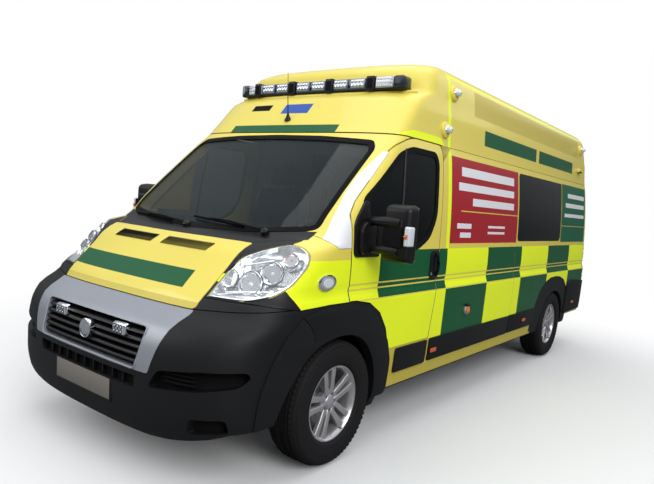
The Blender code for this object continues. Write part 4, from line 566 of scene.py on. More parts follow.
def shown(r, g, b):
    """The linear colour that shows as this display colour."""
    return tuple(c / 12.92 if c <= 0.04045 else ((c + 0.055) / 1.055) ** 2.4 for c in (r, g, b))


PALE = finish_of("pale_yellow", shown(0.91, 0.84, 0.36), 0.32, coat=0.25, vary=0.02)
# a darker copy of the pale yellow body paint: painted shade for faces that lie in shade
PALE_PAINTED_SHADE = finish_of("pale_yellow_painted_shade", shown(0.80, 0.73, 0.30), 0.45, coat=0.1, vary=0.02)
FLUO = finish_of("fluorescent_yellow", shown(0.92, 0.98, 0.10), 0.42, coat=0.1, vary=0.02, glow=0.10)
GREEN = finish_of("reflective_green", shown(0.0, 0.34, 0.18), 0.40, coat=0.1, vary=0.04, spec=0.35)
RED = finish_of("panel_red", shown(0.66, 0.12, 0.16), 0.40, coat=0.1, vary=0.03, spec=0.35)
TEAL = finish_of("panel_teal", shown(0.03, 0.38, 0.25), 0.40, coat=0.1, vary=0.03, spec=0.35)
WHITE = finish_of("plain_white", shown(0.93, 0.93, 0.94), 0.4, coat=0.2, vary=0.01)
BLUE = finish_of("plain_blue", shown(0.08, 0.30, 0.66), 0.35, coat=0.3, vary=0.03)
LINER = finish_of("inner_skin", shown(0.72, 0.68, 0.42), 0.6, vary=0.04)
TRIM_GREY = finish_of("door_trim_grey", shown(0.34, 0.35, 0.37), 0.75, bump=0.3, scale=500, vary=0.06)
CHARCOAL = finish_of("charcoal_plastic", shown(0.072, 0.074, 0.083), 0.55, bump=0.22, scale=700, vary=0.10,
                     spec=0.35)
BLACK = finish_of("black_plastic", shown(0.065, 0.065, 0.072), 0.38, bump=0.12, scale=700, vary=0.1, spec=0.35)
MATT = finish_of("black_rubber", shown(0.05, 0.05, 0.055), 0.85, vary=0.1, spec=0.2)
GLOSS_BLACK = finish_of("gloss_black", shown(0.06, 0.06, 0.07), 0.10, coat=0.8, vary=0.05)
SATIN_GREY = finish_of("surround_grey", shown(0.60, 0.61, 0.64), 0.36, metal=0.25, vary=0.03)
CHROME = finish_of("bright_chrome", shown(0.92, 0.93, 0.94), 0.08, metal=1.0, vary=0.02)
REFLECTOR = finish_of("lamp_reflector", shown(0.93, 0.94, 0.95), 0.16, metal=0.85, vary=0.03)
ALLOY = finish_of("wheel_silver", shown(0.78, 0.77, 0.78), 0.30, metal=0.75, vary=0.04)
STEEL = finish_of("plain_steel", shown(0.66, 0.67, 0.68), 0.40, metal=0.9, vary=0.1, bump=0.1, scale=300)
CHASSIS = finish_of("undercoat", shown(0.10, 0.10, 0.105), 0.75, bump=0.4, scale=120, vary=0.2, spec=0.3)
RUBBER = finish_of("tyre_rubber", shown(0.09, 0.09, 0.095), 0.75, bump=0.15, scale=400, vary=0.15, spec=0.3)
LENS = finish_of("clear_lens", (0.95, 0.96, 0.97), 0.03, alpha=0.07)
LENS_RED = finish_of("red_lens", shown(0.66, 0.05, 0.06), 0.12, coat=1.0, vary=0.04)
LENS_AMBER = finish_of("amber_lens", shown(0.93, 0.50, 0.08), 0.12, coat=1.0, vary=0.04)
LENS_ORANGE = finish_of("orange_lens", shown(0.88, 0.34, 0.10), 0.12, coat=1.0, vary=0.04)
LENS_CLEAR = finish_of("pale_lens", shown(0.86, 0.88, 0.90), 0.10, coat=0.8, vary=0.04)
LED_BLUE = finish_of("led_module", shown(0.30, 0.38, 0.55), 0.10, coat=1.0, vary=0.1)
LED_CLEAR = finish_of("led_clear", shown(0.72, 0.75, 0.80), 0.12, metal=0.4, coat=0.8, vary=0.05)
GLASS = finish_of("tinted_glass", shown(0.20, 0.25, 0.25), 0.02, alpha=0.55, ior=1.5)
GLASS_CAB = finish_of("cab_glass", shown(0.10, 0.15, 0.15), 0.02, alpha=0.40, ior=1.5)
GLASS_DOOR = finish_of("door_glass", shown(0.04, 0.06, 0.06), 0.02, alpha=0.82, ior=1.5, spec=0.3)
GLASS_DARK = finish_of("privacy_glass", shown(0.05, 0.055, 0.055), 0.06, vary=0.04, spec=0.3)
SEAT = finish_of("seat_cloth", shown(0.20, 0.24, 0.34), 0.90, bump=0.5, scale=500, vary=0.15)
SEAT_TRIM = finish_of("seat_side", shown(0.22, 0.22, 0.235), 0.7, bump=0.3, scale=400, vary=0.1)
DASH = finish_of("dash_grey", shown(0.30, 0.31, 0.32), 0.65, bump=0.35, scale=600, vary=0.08)
DASH_DARK = finish_of("dash_dark", shown(0.18, 0.185, 0.195), 0.6, bump=0.3, scale=600, vary=0.08)
INNER = finish_of("inner_white", shown(0.82, 0.83, 0.83), 0.5, vary=0.02)
PLATE = finish_of("blank_plate", shown(0.50, 0.48, 0.45), 0.45, vary=0.03)
BED = finish_of("bed_cover", shown(0.58, 0.14, 0.14), 0.5, bump=0.2, scale=300, vary=0.05)

# smooth shading after cutting
smooth_hull = hull()
for face in smooth_hull.data.polygons:
    face.use_smooth = True
hull_points = [v.co.copy() for v in smooth_hull.data.vertices]
hull_normals = [v.normal.copy() for v in smooth_hull.data.vertices]
hull_faces = [tuple(p.vertices) for p in smooth_hull.data.polygons]
hull_tree = BVHTree.FromPolygons(hull_points, hull_faces)
ALIGNED = 0.90


def hull_normal(point):
    """The smooth outer shape's normal nearest to a point, and how far away it is."""
    spot, normal, index, away = hull_tree.find_nearest(point)
    if index is None or len(hull_faces[index]) != 3:
        return normal, away
    a, b, c = hull_faces[index]
    pa, pb, pc = hull_points[a], hull_points[b], hull_points[c]
    blend = (hull_normals[a] * (pb - spot).cross(pc - spot).length
             + hull_normals[b] * (pc - spot).cross(pa - spot).length
             + hull_normals[c] * (pa - spot).cross(pb - spot).length)
    return (blend.normalized() if blend.length > 1e-12 else normal), away


def curve_normals(thing, reach=0.003):
    """Outer faces take the smooth hull's normals; cut edges stay flat."""
    mesh = thing.data
    normals, cache = [None] * len(mesh.loops), {}
    for face in mesh.polygons:
        face.use_smooth = True
        for number in face.loop_indices:
            vertex = mesh.loops[number].vertex_index
            if vertex not in cache:
                cache[vertex] = hull_normal(mesh.vertices[vertex].co)
            normal, away = cache[vertex]
            if away < reach and face.normal.dot(normal) > ALIGNED:
                normals[number] = tuple(normal)
            elif face.normal.dot(normal) < -ALIGNED:
                normals[number] = tuple(-normal)
            else:
                normals[number] = tuple(face.normal)
    mesh.normals_split_custom_set(normals)
    return thing


def fit(thing, name, body, node, mat=None, reach=0.003):
    """Shade a panel as the smooth shape and place it."""
    return place(curve_normals(thing, reach), name, body, node, mat)


def out_of(x, y, z):
    """Nearest point of the outer shape and its outward direction."""
    spot = hull_tree.find_nearest(Vector((x, y, z)))[0]
    return spot, hull_normal(spot)[0]


inner_hull, thin_hull = hull(0.055), hull(0.030)
skin = cut(copy_of(smooth_hull), copy_of(inner_hull))
thin_skin = cut(copy_of(smooth_hull), copy_of(thin_hull))
glass_skin = cut(hull(0.004), hull(0.010))


def panel(base, zone, *cuts):
    return cut(keep(copy_of(base), zone), *cuts)


def slice_of(outer, inner, zone, *cuts):
    """The shell between two depths of the outer shape, inside a zone."""
    return cut(keep(hull(*outer), zone), hull(*inner), *cuts)


# livery; the darker pale yellow among its colours is painted shade
LIVERY = [PALE, FLUO, GREEN, RED, TEAL, WHITE, PALE_PAINTED_SHADE, LINER, BLUE, TRIM_GREY, MATT, BLACK]
(PALE_I, FLUO_I, GREEN_I, RED_I, TEAL_I, WHITE_I, PAINTED_SHADE_I, LINER_I, BLUE_I, TRIM_I, MATT_I,
 BLACK_I) = range(len(LIVERY))
INSIDE_DEPTH = 0.020


def paint(thing, lines, rule, inner=LINER_I):
    """Cut a panel's faces along the livery's lines, then colour each outer face by its place."""
    def colour(shape):
        for axis, value in lines:
            way = Vector(axis)
            everything = shape.verts[:] + shape.edges[:] + shape.faces[:]
            bmesh.ops.bisect_plane(shape, geom=everything, dist=1e-6,
                                   plane_co=way * (value / way.length_squared), plane_no=way)
        for face in shape.faces:
            middle = face.calc_center_median()
            normal, away = hull_normal(middle)
            hidden = away > INSIDE_DEPTH or face.normal.dot(normal) < -0.5
            face.material_index = inner if hidden else rule(middle, normal)

    thing.data.materials.clear()
    for mat in LIVERY:
        thing.data.materials.append(mat)
    return edited(thing, colour)


def across(*values):
    return [((1, 0, 0), v) for v in values]


def along(*values):
    return [((0, 1, 0), v) for v in values]


def up(*values):
    return [((0, 0, 1), v) for v in values]


# gaps between panels, the rear doors' frame and the roof's lower edge
SEAM, SHUT = 0.0035, 0.009
REAR_HALF, REAR_LOW, REAR_TOP, REAR_CUT = 0.905, 0.52, 2.20, 5.045
GUTTER, CAB_TOP, LAMP_LOW, LAMP_TOP = 1.990, 1.993, 0.88, 1.42
SIDES = ((1, "left"), (-1, "right"))


def half_of(sign):
    return (0, FAR) if sign > 0 else (-FAR, 0)


def z_above(z):
    return box(-FAR, -FAR, z, FAR, 9, 6)


def windscreen_zone(grow=0.0):
    return plug(WINDSCREEN_SHARES, grow, -FAR, 2.0, 0.03)


def headlight_zone(grow=0.0, sign=1):
    front = [(x * sign, z) for x, z in metres(HEADLIGHT_FRONT_SHARES, HALF_WIDTH)][::sign]
    return keep(slab(HEADLIGHT_SIDE_SHARES, grow, *half_of(sign), 0.02),
                prism(grown(rounded(front, 0.03), grow), "Y", -FAR, FAR))


def bonnet_zone(grow=0.0):
    plan = rounded([(x * HALF_WIDTH, y * WHEELBASE) for x, y in BONNET_PLAN_SHARES], 0.01)
    return keep(plug(BONNET_SHARES, grow, -FAR, 2.0, 0.02), prism(grown(plan, grow), "Z", 0, FAR))


def rear_zone(grow=0.0):
    return box(-REAR_HALF - grow, REAR_CUT, REAR_LOW - grow, REAR_HALF + grow, 9, REAR_TOP + grow)


def lamp_zone(grow=0.0, low=LAMP_LOW, top=LAMP_TOP):
    return box(0.925 - grow, 5.12 - grow, low - grow, FAR, 9, top + grow)


def door_zone(grow=0.0, low=-FAR, high=FAR):
    return slab(DOOR_SHARES, grow, low, high, 0.05)


# where the livery's fields meet, behind the front axle and up, and its plain bars as y, y, z, z
CHECKS = [1.280, 2.055, 2.880, 3.695, 4.485]
# the fourth of these heights is where the door's painted shade ends
ROW_LOW, ROW_MIDDLE, ROW_TOP, PAINTED_SHADE_TOP, DOOR_GREEN = 0.600, 0.955, 1.250, 0.612, 0.355
THIN_LINES = [(0.951, 0.959), (1.014, 1.024), (1.046, 1.056)]
ROW_ZS = [ROW_LOW, *[z for pair in THIN_LINES for z in pair], ROW_TOP]
PANEL_LOW, PANEL_TOP = 1.287, 1.936
EDGE_FROM, EDGE_TO, RED_FROM, RED_TO, TEAL_FROM, TEAL_TO = 1.250, 1.300, 1.306, 2.712, 4.112, 5.090
LETTER_BARS = [(1.48, 2.60, 1.80, 1.87), (1.43, 2.60, 1.69, 1.75), (1.69, 2.60, 1.58, 1.64)]
SMALL_BARS = [(1.42, 1.68, 1.40, 1.44), (1.48, 1.68, 1.33, 1.37), (2.02, 2.40, 1.41, 1.43),
              (2.02, 2.40, 1.36, 1.38)]
TEAL_BARS = [(4.34, 5.04, 1.79, 1.84), (4.26, 5.04, 1.68, 1.73), (4.22, 5.04, 1.57, 1.61)]
FACING = 0.30


def check_colour(y, z):
    step = sum(1 for edge in CHECKS if y > edge)
    low_row, odd = z < ROW_MIDDLE, step % 2 == 1
    if step == 0:
        return FLUO_I if low_row or y < DOOR_GREEN else GREEN_I
    return GREEN_I if low_row == odd else FLUO_I


def inside(bars, y, z):
    return any(y0 < y < y1 and z0 < z < z1 for y0, y1, z0, z1 in bars)


def side_rule(middle, normal):
    y, z = middle.y, middle.z
    if abs(normal.x) < FACING or z < ROW_LOW:
        return PALE_I
    if z < ROW_TOP:
        if any(low < z < top for low, top in THIN_LINES):
            return PALE_I
        return GREEN_I if y > CHECKS[-1] and z < THIN_LINES[0][0] else check_colour(y, z)
    if EDGE_FROM < y < EDGE_TO:
        return FLUO_I
    if PANEL_LOW < z < PANEL_TOP and RED_FROM < y < RED_TO:
        if inside(LETTER_BARS + SMALL_BARS, y, z):
            return WHITE_I
        return PALE_I if y > 1.52 and 1.530 < z < 1.538 else RED_I
    if PANEL_LOW < z < PANEL_TOP and TEAL_FROM < y < TEAL_TO:
        if inside(TEAL_BARS, y, z):
            return WHITE_I
        return PALE_I if 1.465 < z < 1.471 else TEAL_I
    return PALE_I


SIDE_LINES = (along(*CHECKS) + up(*ROW_ZS, PANEL_LOW, PANEL_TOP)
              + along(EDGE_FROM, EDGE_TO, RED_FROM, RED_TO, TEAL_FROM, TEAL_TO)
              + up(1.530, 1.538, 1.465, 1.471))
BAR_LINES = []
for y0, y1, z0, z1 in LETTER_BARS + SMALL_BARS + TEAL_BARS:
    BAR_LINES += along(y0, y1) + up(z0, z1)
# fields of the roof's sides as y, y, z, z, and of its front as x, x, z, z, each with its colour; the darker
# pale band high on the sides is painted shade
ROOF_SIDE = [(1.250, 1.292, 0, 2.505, FLUO_I), (1.250, 4.93, 2.505, 2.526, FLUO_I),
             (1.930, 3.235, 2.083, 2.208, GREEN_I), (3.320, 4.530, 2.083, 2.208, GREEN_I),
             (1.72, 4.77, 2.290, 2.485, PAINTED_SHADE_I)]
ROOF_FRONT = [(-0.555, 0.47, 1.972, 2.050, GREEN_I), (-0.155, 0.110, 2.148, 2.228, BLUE_I),
              (-0.495, -0.295, 2.178, 2.228, MATT_I)]
ROOF_FRONT_END = 1.0


def roof_rule(middle, normal):
    x, y, z = middle
    side = abs(normal.x) > FACING
    fields = ROOF_SIDE if side else ROOF_FRONT if y < ROOF_FRONT_END else []
    here = y if side else x
    return next((mat for a, b, low, top, mat in fields if a < here < b and low < z < top), PALE_I)


ROOF_LINES = along(ROOF_FRONT_END)
for a, b, low, top, mat in ROOF_SIDE:
    ROOF_LINES += along(a, b) + up(low, top)
for a, b, low, top, mat in ROOF_FRONT:
    ROOF_LINES += across(a, b) + up(low, top)

# body panels
BAND = 0.058


def band_box():
    return box(-FAR, 0.30, 0, FAR, 1.250, FAR)


roof = panel(skin, z_above(GUTTER), door_zone(SHUT), windscreen_zone(SEAM), rear_zone(SHUT),
             box(-FAR, -FAR, 0, FAR, 1.165, CAB_TOP))
band = keep(copy_of(roof), door_zone(BAND), band_box())
cut(roof, keep(door_zone(BAND), band_box()))
fit(paint(roof, ROOF_LINES, roof_rule), "roof_panel", "body", "roof")
fit(paint(band, [], lambda middle, normal: FLUO_I), "roof_band", "body", None)

side = panel(skin, box(0, 1.045, 0.42, FAR, 9, GUTTER - SEAM), box(-FAR, REAR_CUT, 0, REAR_HALF + SHUT, 9, 9),
             lamp_zone(SEAM), slab(REAR_FLARE_SHARES, SEAM, round_by=0.04), door_zone(SHUT))
side_r = mirrored(side)
cut(side, slab(SIDE_WINDOW_SHARES, 0.002, round_by=0.03), box(0.90, 2.700, 0.42, 1.1, 2.7035, 1.20))
cut(side_r, slab(SLIDING_DOOR_SHARES, 0.006, round_by=0.05), slab(SIDE_WINDOW_SHARES, 0.002, round_by=0.03))
for thing, name in ((side, "left"), (side_r, "right")):
    fit(paint(thing, SIDE_LINES + BAR_LINES, side_rule), "side_panel_" + name, "body", "side_" + name)


def plain_rule(middle, normal):
    if middle.z < ROW_TOP:
        return side_rule(middle, normal)
    return RED_I if RED_FROM < middle.y < RED_TO and PANEL_LOW < middle.z < PANEL_TOP else PALE_I


slider = panel(skin, slab(SLIDING_DOOR_SHARES, 0, -FAR, 0, 0.05),
               slab(SLIDING_WINDOW_SHARES, 0.002, round_by=0.05))
fit(paint(slider, SIDE_LINES, plain_rule), "sliding_door_panel", "body", "sliding_door")

# black areas over and under the lamp, the slanted one by y plus a share of z
WING_BLACK_X, WING_BLACK_Z, WING_SLANT, WING_SLANT_END, WING_SLANT_TOP, WING_FLUO_TOP = (
    0.840, 1.100, 0.754, 0.329, 1.060, 1.200)


def wing_rule(middle, normal):
    if abs(middle.x) < WING_BLACK_X and middle.z > WING_BLACK_Z:
        return BLACK_I
    if middle.y + WING_SLANT * middle.z < WING_SLANT_END and middle.z < WING_SLANT_TOP:
        return BLACK_I
    return FLUO_I if middle.z < WING_FLUO_TOP else PALE_I


wing = panel(skin, slab(WING_SHARES, 0, 0.60, FAR), slab(BUMPER_SHARES, SEAM), door_zone(SHUT),
             bonnet_zone(0.005),
             headlight_zone(SEAM), plug(SCUTTLE_SHARES, 0.001, -FAR, 0), windscreen_zone(0.001))
WING_LINES = (up(WING_SLANT_TOP, WING_BLACK_Z, WING_FLUO_TOP) + across(-WING_BLACK_X, WING_BLACK_X)
              + [((0, 1, WING_SLANT), WING_SLANT_END)])
for thing, name in ((wing, "left"), (mirrored(wing), "right")):
    fit(paint(thing, WING_LINES, wing_rule), "wing_panel_" + name, "body", "wing_" + name)
BONNET_FOLD, BONNET_BAR = 0.953, (-0.640, 0.455, 1.005, 1.092)


def bonnet_rule(middle, normal):
    # the front lip below the fold is painted in shade with the darker pale yellow
    if middle.z < BONNET_FOLD:
        return PAINTED_SHADE_I
    return GREEN_I if inside([BONNET_BAR], middle.x, middle.z) else PALE_I


bonnet = paint(panel(thin_skin, bonnet_zone()), across(*BONNET_BAR[:2]) + up(BONNET_FOLD, *BONNET_BAR[2:]),
               bonnet_rule)
fit(bonnet, "bonnet_panel", "bonnet", "bonnet")

# openings of the nose as x, z, the bumper's lower edge and the joint under the lamps
GRILLE_OPEN = [(-.455, .610), (.455, .610), (.480, .822), (-.480, .822)]
LOWER_GRILLE = [(-.455, .515), (.455, .515), (.462, .578), (-.462, .578)]
FOG = [(.55, .540), (.817, .566), (.970, .596), (.992, .640), (.985, .672), (.846, .668), (.605, .636)]
TOW = [(.770, .350), (.940, .370), (.935, .440), (.790, .430)]
CHIN = [(0, .262), (.27, .264), (.518, .272), (.663, .291), (.783, .315), (.874, .337), (.942, .361),
        (1.10, .364)]
STRIP = [(.50, .914), (.654, .925), (.812, .935), (.936, .946), (1.012, .957), (1.10, .962)]
STRIP_GAP = .0045


def flip(points, sign=-1):
    return [(sign * x, z) for x, z in points]


def chin_cut():
    return prism(flip(CHIN[:0:-1]) + CHIN + [(1.10, 0), (-1.10, 0)], "Y", -FAR, -0.35)


def nose_cut(points, round_by, end=-0.5):
    return prism(rounded(points, round_by), "Y", -FAR, end)


def swollen(points, grow):
    """The outline moved away from its middle."""
    middle = Vector((sum(p[0] for p in points) / len(points), sum(p[1] for p in points) / len(points)))
    return [tuple(middle + (Vector(p) - middle) * (1 + grow / (Vector(p) - middle).length)) for p in points]


bumper = panel(skin, slab(BUMPER_SHARES, round_by=0.05), arch(FRONT_ARCH_SHARES, 0),
               plug(SURROUND_SHARES, 0.001, -FAR, 0, 0.015), bonnet_zone(0.005), headlight_zone(SEAM),
               headlight_zone(SEAM, -1), nose_cut(LOWER_GRILLE, 0.02, 0), nose_cut(FOG, 0.03),
               nose_cut(flip(FOG), 0.03), chin_cut(), nose_cut(TOW, 0.02), nose_cut(flip(TOW), 0.02))
for sign, side_name in SIDES:
    groove = flip(STRIP, sign) + [(sign * x, z - STRIP_GAP) for x, z in STRIP[::-1]]
    cut(bumper, keep(hull(-0.02), prism(groove, "Y", -FAR, -0.38)))
fit(bumper, "bumper_skin", "body", "front_bumper", CHARCOAL)
surround = panel(skin, plug(SURROUND_SHARES, 0, -FAR, 0, 0.015), nose_cut(GRILLE_OPEN, 0.03, 0),
                 bonnet_zone(0.005), headlight_zone(SEAM), headlight_zone(SEAM, -1))
fit(surround, "grille_frame", "body", "grille_surround", SATIN_GREY)
scuttle = panel(thin_skin, plug(SCUTTLE_SHARES, 0, -FAR, 0), windscreen_zone(0.001), bonnet_zone(0.005))
fit(scuttle, "scuttle_cover", "body", "scuttle_panel", BLACK)
flare = panel(skin, slab(REAR_FLARE_SHARES, 0, 0, FAR, 0.04), arch(REAR_ARCH_SHARES, WHEELBASE))
for thing, name in ((flare, "left"), (mirrored(flare), "right")):
    fit(thing, "rear_flare_" + name, "body", "flare_rear_" + name, CHARCOAL)

# the door's leading edge as seen from the front, (x, z), and the white stripe ahead of it
LEAD = [(.962, 1.352), (.971, 1.428), (.950, 1.535), (.946, 1.670), (.936, 1.840), (.934, 1.880)]
STRIPE = [(.925, 1.262), (.906, 1.396), (.894, 1.489), (.874, 1.591), (.868, 1.688), (.886, 1.772),
          (.899, 1.862), (1.2, 1.862), (1.2, 1.262)]


def lead_zone(grow):
    line = [(0, LEAD[0][1])] + [(x + grow, z) for x, z in LEAD] + [(0, LEAD[-1][1])]
    return join(*[prism(flip(line, sign), "Y", -FAR, 0.455) for sign, _ in SIDES])


pillars = panel(skin, slab(PILLAR_SHARES), cut(door_zone(SHUT), lead_zone(-SHUT * 0.6)), windscreen_zone(SEAM),
                slab(WING_SHARES, SEAM), plug(SCUTTLE_SHARES, 0.001, -FAR, 0), z_above(CAB_TOP - SEAM))
white_zone = join(*[prism(flip(STRIPE, sign), "Y", -FAR, 0.47) for sign, _ in SIDES])
stripes = keep(copy_of(pillars), copy_of(white_zone))
cut(pillars, white_zone)
fit(paint(pillars, [], lambda middle, normal: PALE_I), "pillar_panels", "body", "cab_frame")
fit(paint(stripes, [], lambda middle, normal: WHITE_I), "pillar_stripes", "body", None)
wall = join(box(-0.86, -0.14, 0.853, 0.86, -0.10, 1.285), box(-0.95, -0.07, 1.285, 0.95, 0.02, 1.335),
            box(-0.86, -0.12, 1.285, 0.86, 0.0, 1.325))
place(keep(wall, copy_of(inner_hull)), "firewall", "body", None, CHASSIS)


def door_rule(middle, normal):
    if abs(normal.x) < FACING or middle.z > ROW_TOP:
        return PALE_I
    # the door's strip under the checks takes the darker pale yellow, painted shade
    return PAINTED_SHADE_I if middle.z < PAINTED_SHADE_TOP else side_rule(middle, normal)


door = panel(skin, door_zone(0, 0, FAR), slab(BUMPER_SHARES, 0.006), windscreen_zone(0.006), lead_zone(0),
             slab(DOOR_WINDOW_SHARES, 0.002, round_by=0.05), box(0, -FAR, 0, 0.991, 3, 0.426))
for thing, name in ((door, "left"), (mirrored(door), "right")):
    paint(thing, up(PAINTED_SHADE_TOP, *ROW_ZS) + along(DOOR_GREEN), door_rule, TRIM_I)
    for face in thing.data.polygons:
        if face.material_index == TRIM_I and face.center.z > ROW_TOP:
            face.material_index = PALE_I
    fit(thing, "door_panel_" + name, "door_" + name, "door_" + name)

# rear doors with slanted red and yellow bars below the windows
BACK_LOW, BACK_TOP, SLANT_FROM, SLANT_STEP = 0.500, 1.300, 0.62, 0.22
back = panel(skin, rear_zone(), box(-FAR, 0, 0, 0.003, 9, 6), box(0.13, REAR_CUT, 1.36, 0.78, 9, 1.95))


def back_rule(middle, normal):
    x, z = abs(middle.x), middle.z
    if normal.y < 0.5 or z > BACK_TOP or z < BACK_LOW:
        return PALE_I
    return RED_I if int(math.floor((x + z - SLANT_FROM) / SLANT_STEP)) % 2 else FLUO_I


for thing, sign, name in ((back, 1, "left"), (mirrored(back), -1, "right")):
    slants = [((sign, 0, 1), SLANT_FROM + SLANT_STEP * k) for k in range(9)]
    paint(thing, slants + up(BACK_TOP, BACK_LOW), back_rule)
    fit(thing, "rear_door_panel_" + name, "rear_door_" + name, "rear_door_" + name)


# glass
def pane(zone, name, body, node, mat=GLASS_DARK):
    fit(panel(glass_skin, zone), name, body, node, mat, 0.008)


pane(windscreen_zone(), "windscreen_pane", "body", "windscreen", GLASS_CAB)
for sign, name in SIDES:
    pane(slab(DOOR_WINDOW_SHARES, 0.001, *half_of(sign), 0.05), "door_pane_" + name, "door_" + name,
         "door_glass_" + name, GLASS_DOOR)
    pane(slab(SIDE_WINDOW_SHARES, 0.001, *half_of(sign), 0.03), "side_pane_" + name, "body",
         "side_window_" + name)
    pane(box(sign * 0.131, REAR_CUT, 1.361, sign * 0.779, 9, 1.949), "rear_pane_" + name, "rear_door_" + name,
         "rear_window_" + name)
pane(slab(SLIDING_WINDOW_SHARES, 0.001, -FAR, 0, 0.05), "sliding_pane", "body", "sliding_door_window")


# light bar, on its moulded ledge
BAR_MODULES = [(-0.550, -0.414), (-0.396, -0.266), (-0.183, -0.052), (-0.030, 0.102), (0.182, 0.312),
               (0.332, 0.469)]
parts = [soft_box(-0.781, 0.800, 2.332, 0.781, 0.915, 2.358, BLACK, 0.006),
         soft_box(-0.770, 0.806, 2.352, 0.770, 0.915, 2.424, GLOSS_BLACK, 0.008)]
for x in (-0.594, -0.226, 0.142, 0.512):
    parts += [soft_box(x - 0.034, 0.787, 2.327, x + 0.034, 0.920, 2.432, BLACK, 0.007),
              soft_box(x - 0.022, 0.783, 2.345, x + 0.022, 0.800, 2.415, MATT)]
for x0, x1 in BAR_MODULES:
    parts += [soft_box(x0, 0.796, 2.348, x1, 0.812, 2.420, LED_BLUE),
              soft_box(x0 + 0.010, 0.7925, 2.355, x1 - 0.010, 0.802, 2.413, LED_CLEAR, 0.002)]
    for k in range(4):
        x = x0 + 0.024 + (x1 - x0 - 0.048) * k / 3
        for z in (2.369, 2.399):
            parts += [turned([(0, 0.011), (0.002, 0.012), (0.004, 0.0095), (0.0045, 0.004)], (x, 0.793, z),
                             (0, -1, 0), CHROME, 16),
                      turned([(0, 0.005), (0.004, 0.004), (0.006, 0.0015)], (x, 0.7905, z), (0, -1, 0),
                             LENS_CLEAR, 12)]
for sign, side_name in SIDES:
    x0, x1 = sorted((sign * 0.556, sign * 0.700))
    parts.append(soft_box(x0, 0.796, 2.346, x1, 0.812, 2.422, LED_CLEAR))
    for row in range(3):
        for k in range(8):
            x, z = x0 + 0.012 + (x1 - x0 - 0.024) * k / 7, 2.354 + row * 0.023
            parts.append(soft_box(x - 0.006, 0.792, z, x + 0.006, 0.800, z + 0.014, LENS_CLEAR, 0.002, 2))
    parts += [soft_box(sign * 0.706, 0.792, 2.338, sign * 0.783, 0.915, 2.428, GLASS, 0.016, 4),
              soft_box(sign * 0.712, 0.820, 2.345, sign * 0.765, 0.905, 2.415, GLOSS_BLACK, 0.006)]
place(parts, "light_bar_unit", "body", "light_bar")
LEDGE_HALF, LEDGE_STEPS = 0.84, 40
ledge = []
for k in range(LEDGE_STEPS + 1):
    x = -LEDGE_HALF + 2 * LEDGE_HALF * k / LEDGE_STEPS
    ledge.append((x, front_y(x, 2.318) - 0.004, 2.314 + 0.010 * (abs(x) / LEDGE_HALF) ** 4))
place(rod(ledge, 0.016, PALE), "light_bar_ledge")


# warning lamps on the roof
def bullet_lamp(name, x, y, z, pad=0.062):
    spot, way = out_of(x, y, z)
    place([turned([(-0.03, pad), (0.004, pad), (0.014, pad * 0.92), (0.020, pad * 0.80), (0.022, pad * 0.60)],
                  spot, way, PALE, 40),
           turned([(0.018, 0.036), (0.026, 0.036), (0.030, 0.033), (0.031, 0.028)], spot, way, CHROME, 32),
           turned([(0.026, 0.027), (0.046, 0.026), (0.056, 0.021), (0.061, 0.012), (0.062, 0.003)], spot, way,
                  LENS_CLEAR, 32),
           turned([(0.045, 0.010), (0.0625, 0.009), (0.064, 0.006)], spot, way, CHROME, 16)], name)


for sign, side_name in SIDES:
    bullet_lamp("side_lamp_low_" + side_name, sign * 0.925, 1.195, 2.105)
    bullet_lamp("side_lamp_top_" + side_name, sign * 0.893, 1.340, 2.395)
    bullet_lamp("side_lamp_rear_" + side_name, sign * 0.898, 4.860, 2.395)
    hood = merged([soft_box(-0.05, -0.07, -0.022, 0.03, 0.07, 0.024, PALE, 0.014, 4),
                   soft_box(0.012, -0.055, -0.028, 0.034, 0.055, -0.006, GLOSS_BLACK)])
    place(set_on(hood, *out_of(sign * 0.923, 4.80, 2.140)), "rear_hood_lamp_" + side_name)
spot, way = out_of(-0.027, 0.556, 2.09)
base = turned([(-0.004, 0.026), (0.006, 0.025), (0.020, 0.016), (0.045, 0.008), (0.060, 0.004)], spot,
              (0, -0.10, 1), BLACK, 24)
mast = [spot + Vector(step) for step in ((0, -0.004, 0.04), (-0.012, -0.010, 0.20), (-0.028, -0.008, 0.345))]
place([base, rod(mast, [0.0035, 0.0028, 0.0018], MATT, 8)], "aerial")

# headlights: a clear lens over a bright tray with bowls and step lines of its inner trim
BOWLS = [(0.800, -0.560, 1.080, 0.062, 0.030, LENS_CLEAR), (0.872, -0.475, 1.140, 0.056, 0.030, LENS_CLEAR),
         (0.680, -0.600, 1.105, 0.042, 0.022, LENS_CLEAR), (0.910, -0.370, 1.212, 0.036, 0.020, LENS_AMBER)]
TRIM_LINES = [(0.66, -0.665, 1.015, 0.90, -0.50, 1.035), (0.64, -0.60, 1.17, 0.83, -0.42, 1.20),
              (0.70, -0.64, 1.035, 0.86, -0.53, 1.025)]


def bowl(sign, x, y, z, radius, deep, bulb):
    spot, out = out_of(sign * x, y, z)
    way = (out * 0.5 + Vector((sign * 0.10, -1, 0)) * 0.5).normalized()
    centre = spot - out * 0.030
    profile = [(-0.004, radius * 1.12), (0.010, radius * 1.12), (0.014, radius * 1.06), (0.012, radius),
               (0.0, radius * 0.93), (-deep * 0.5, radius * 0.70), (-deep * 0.85, radius * 0.40),
               (-deep, 0.004)]
    return [turned(profile, centre, way, CHROME, 40),
            turned([(-0.012, radius * 1.12), (-0.004, radius * 1.19), (0.002, radius * 1.12)], centre, way,
                   BLACK, 40, True),
            turned([(-deep, radius * 0.22), (-0.002, radius * 0.20), (0.004, radius * 0.12), (0.006, 0.002)],
                   centre, way, bulb, 20)]


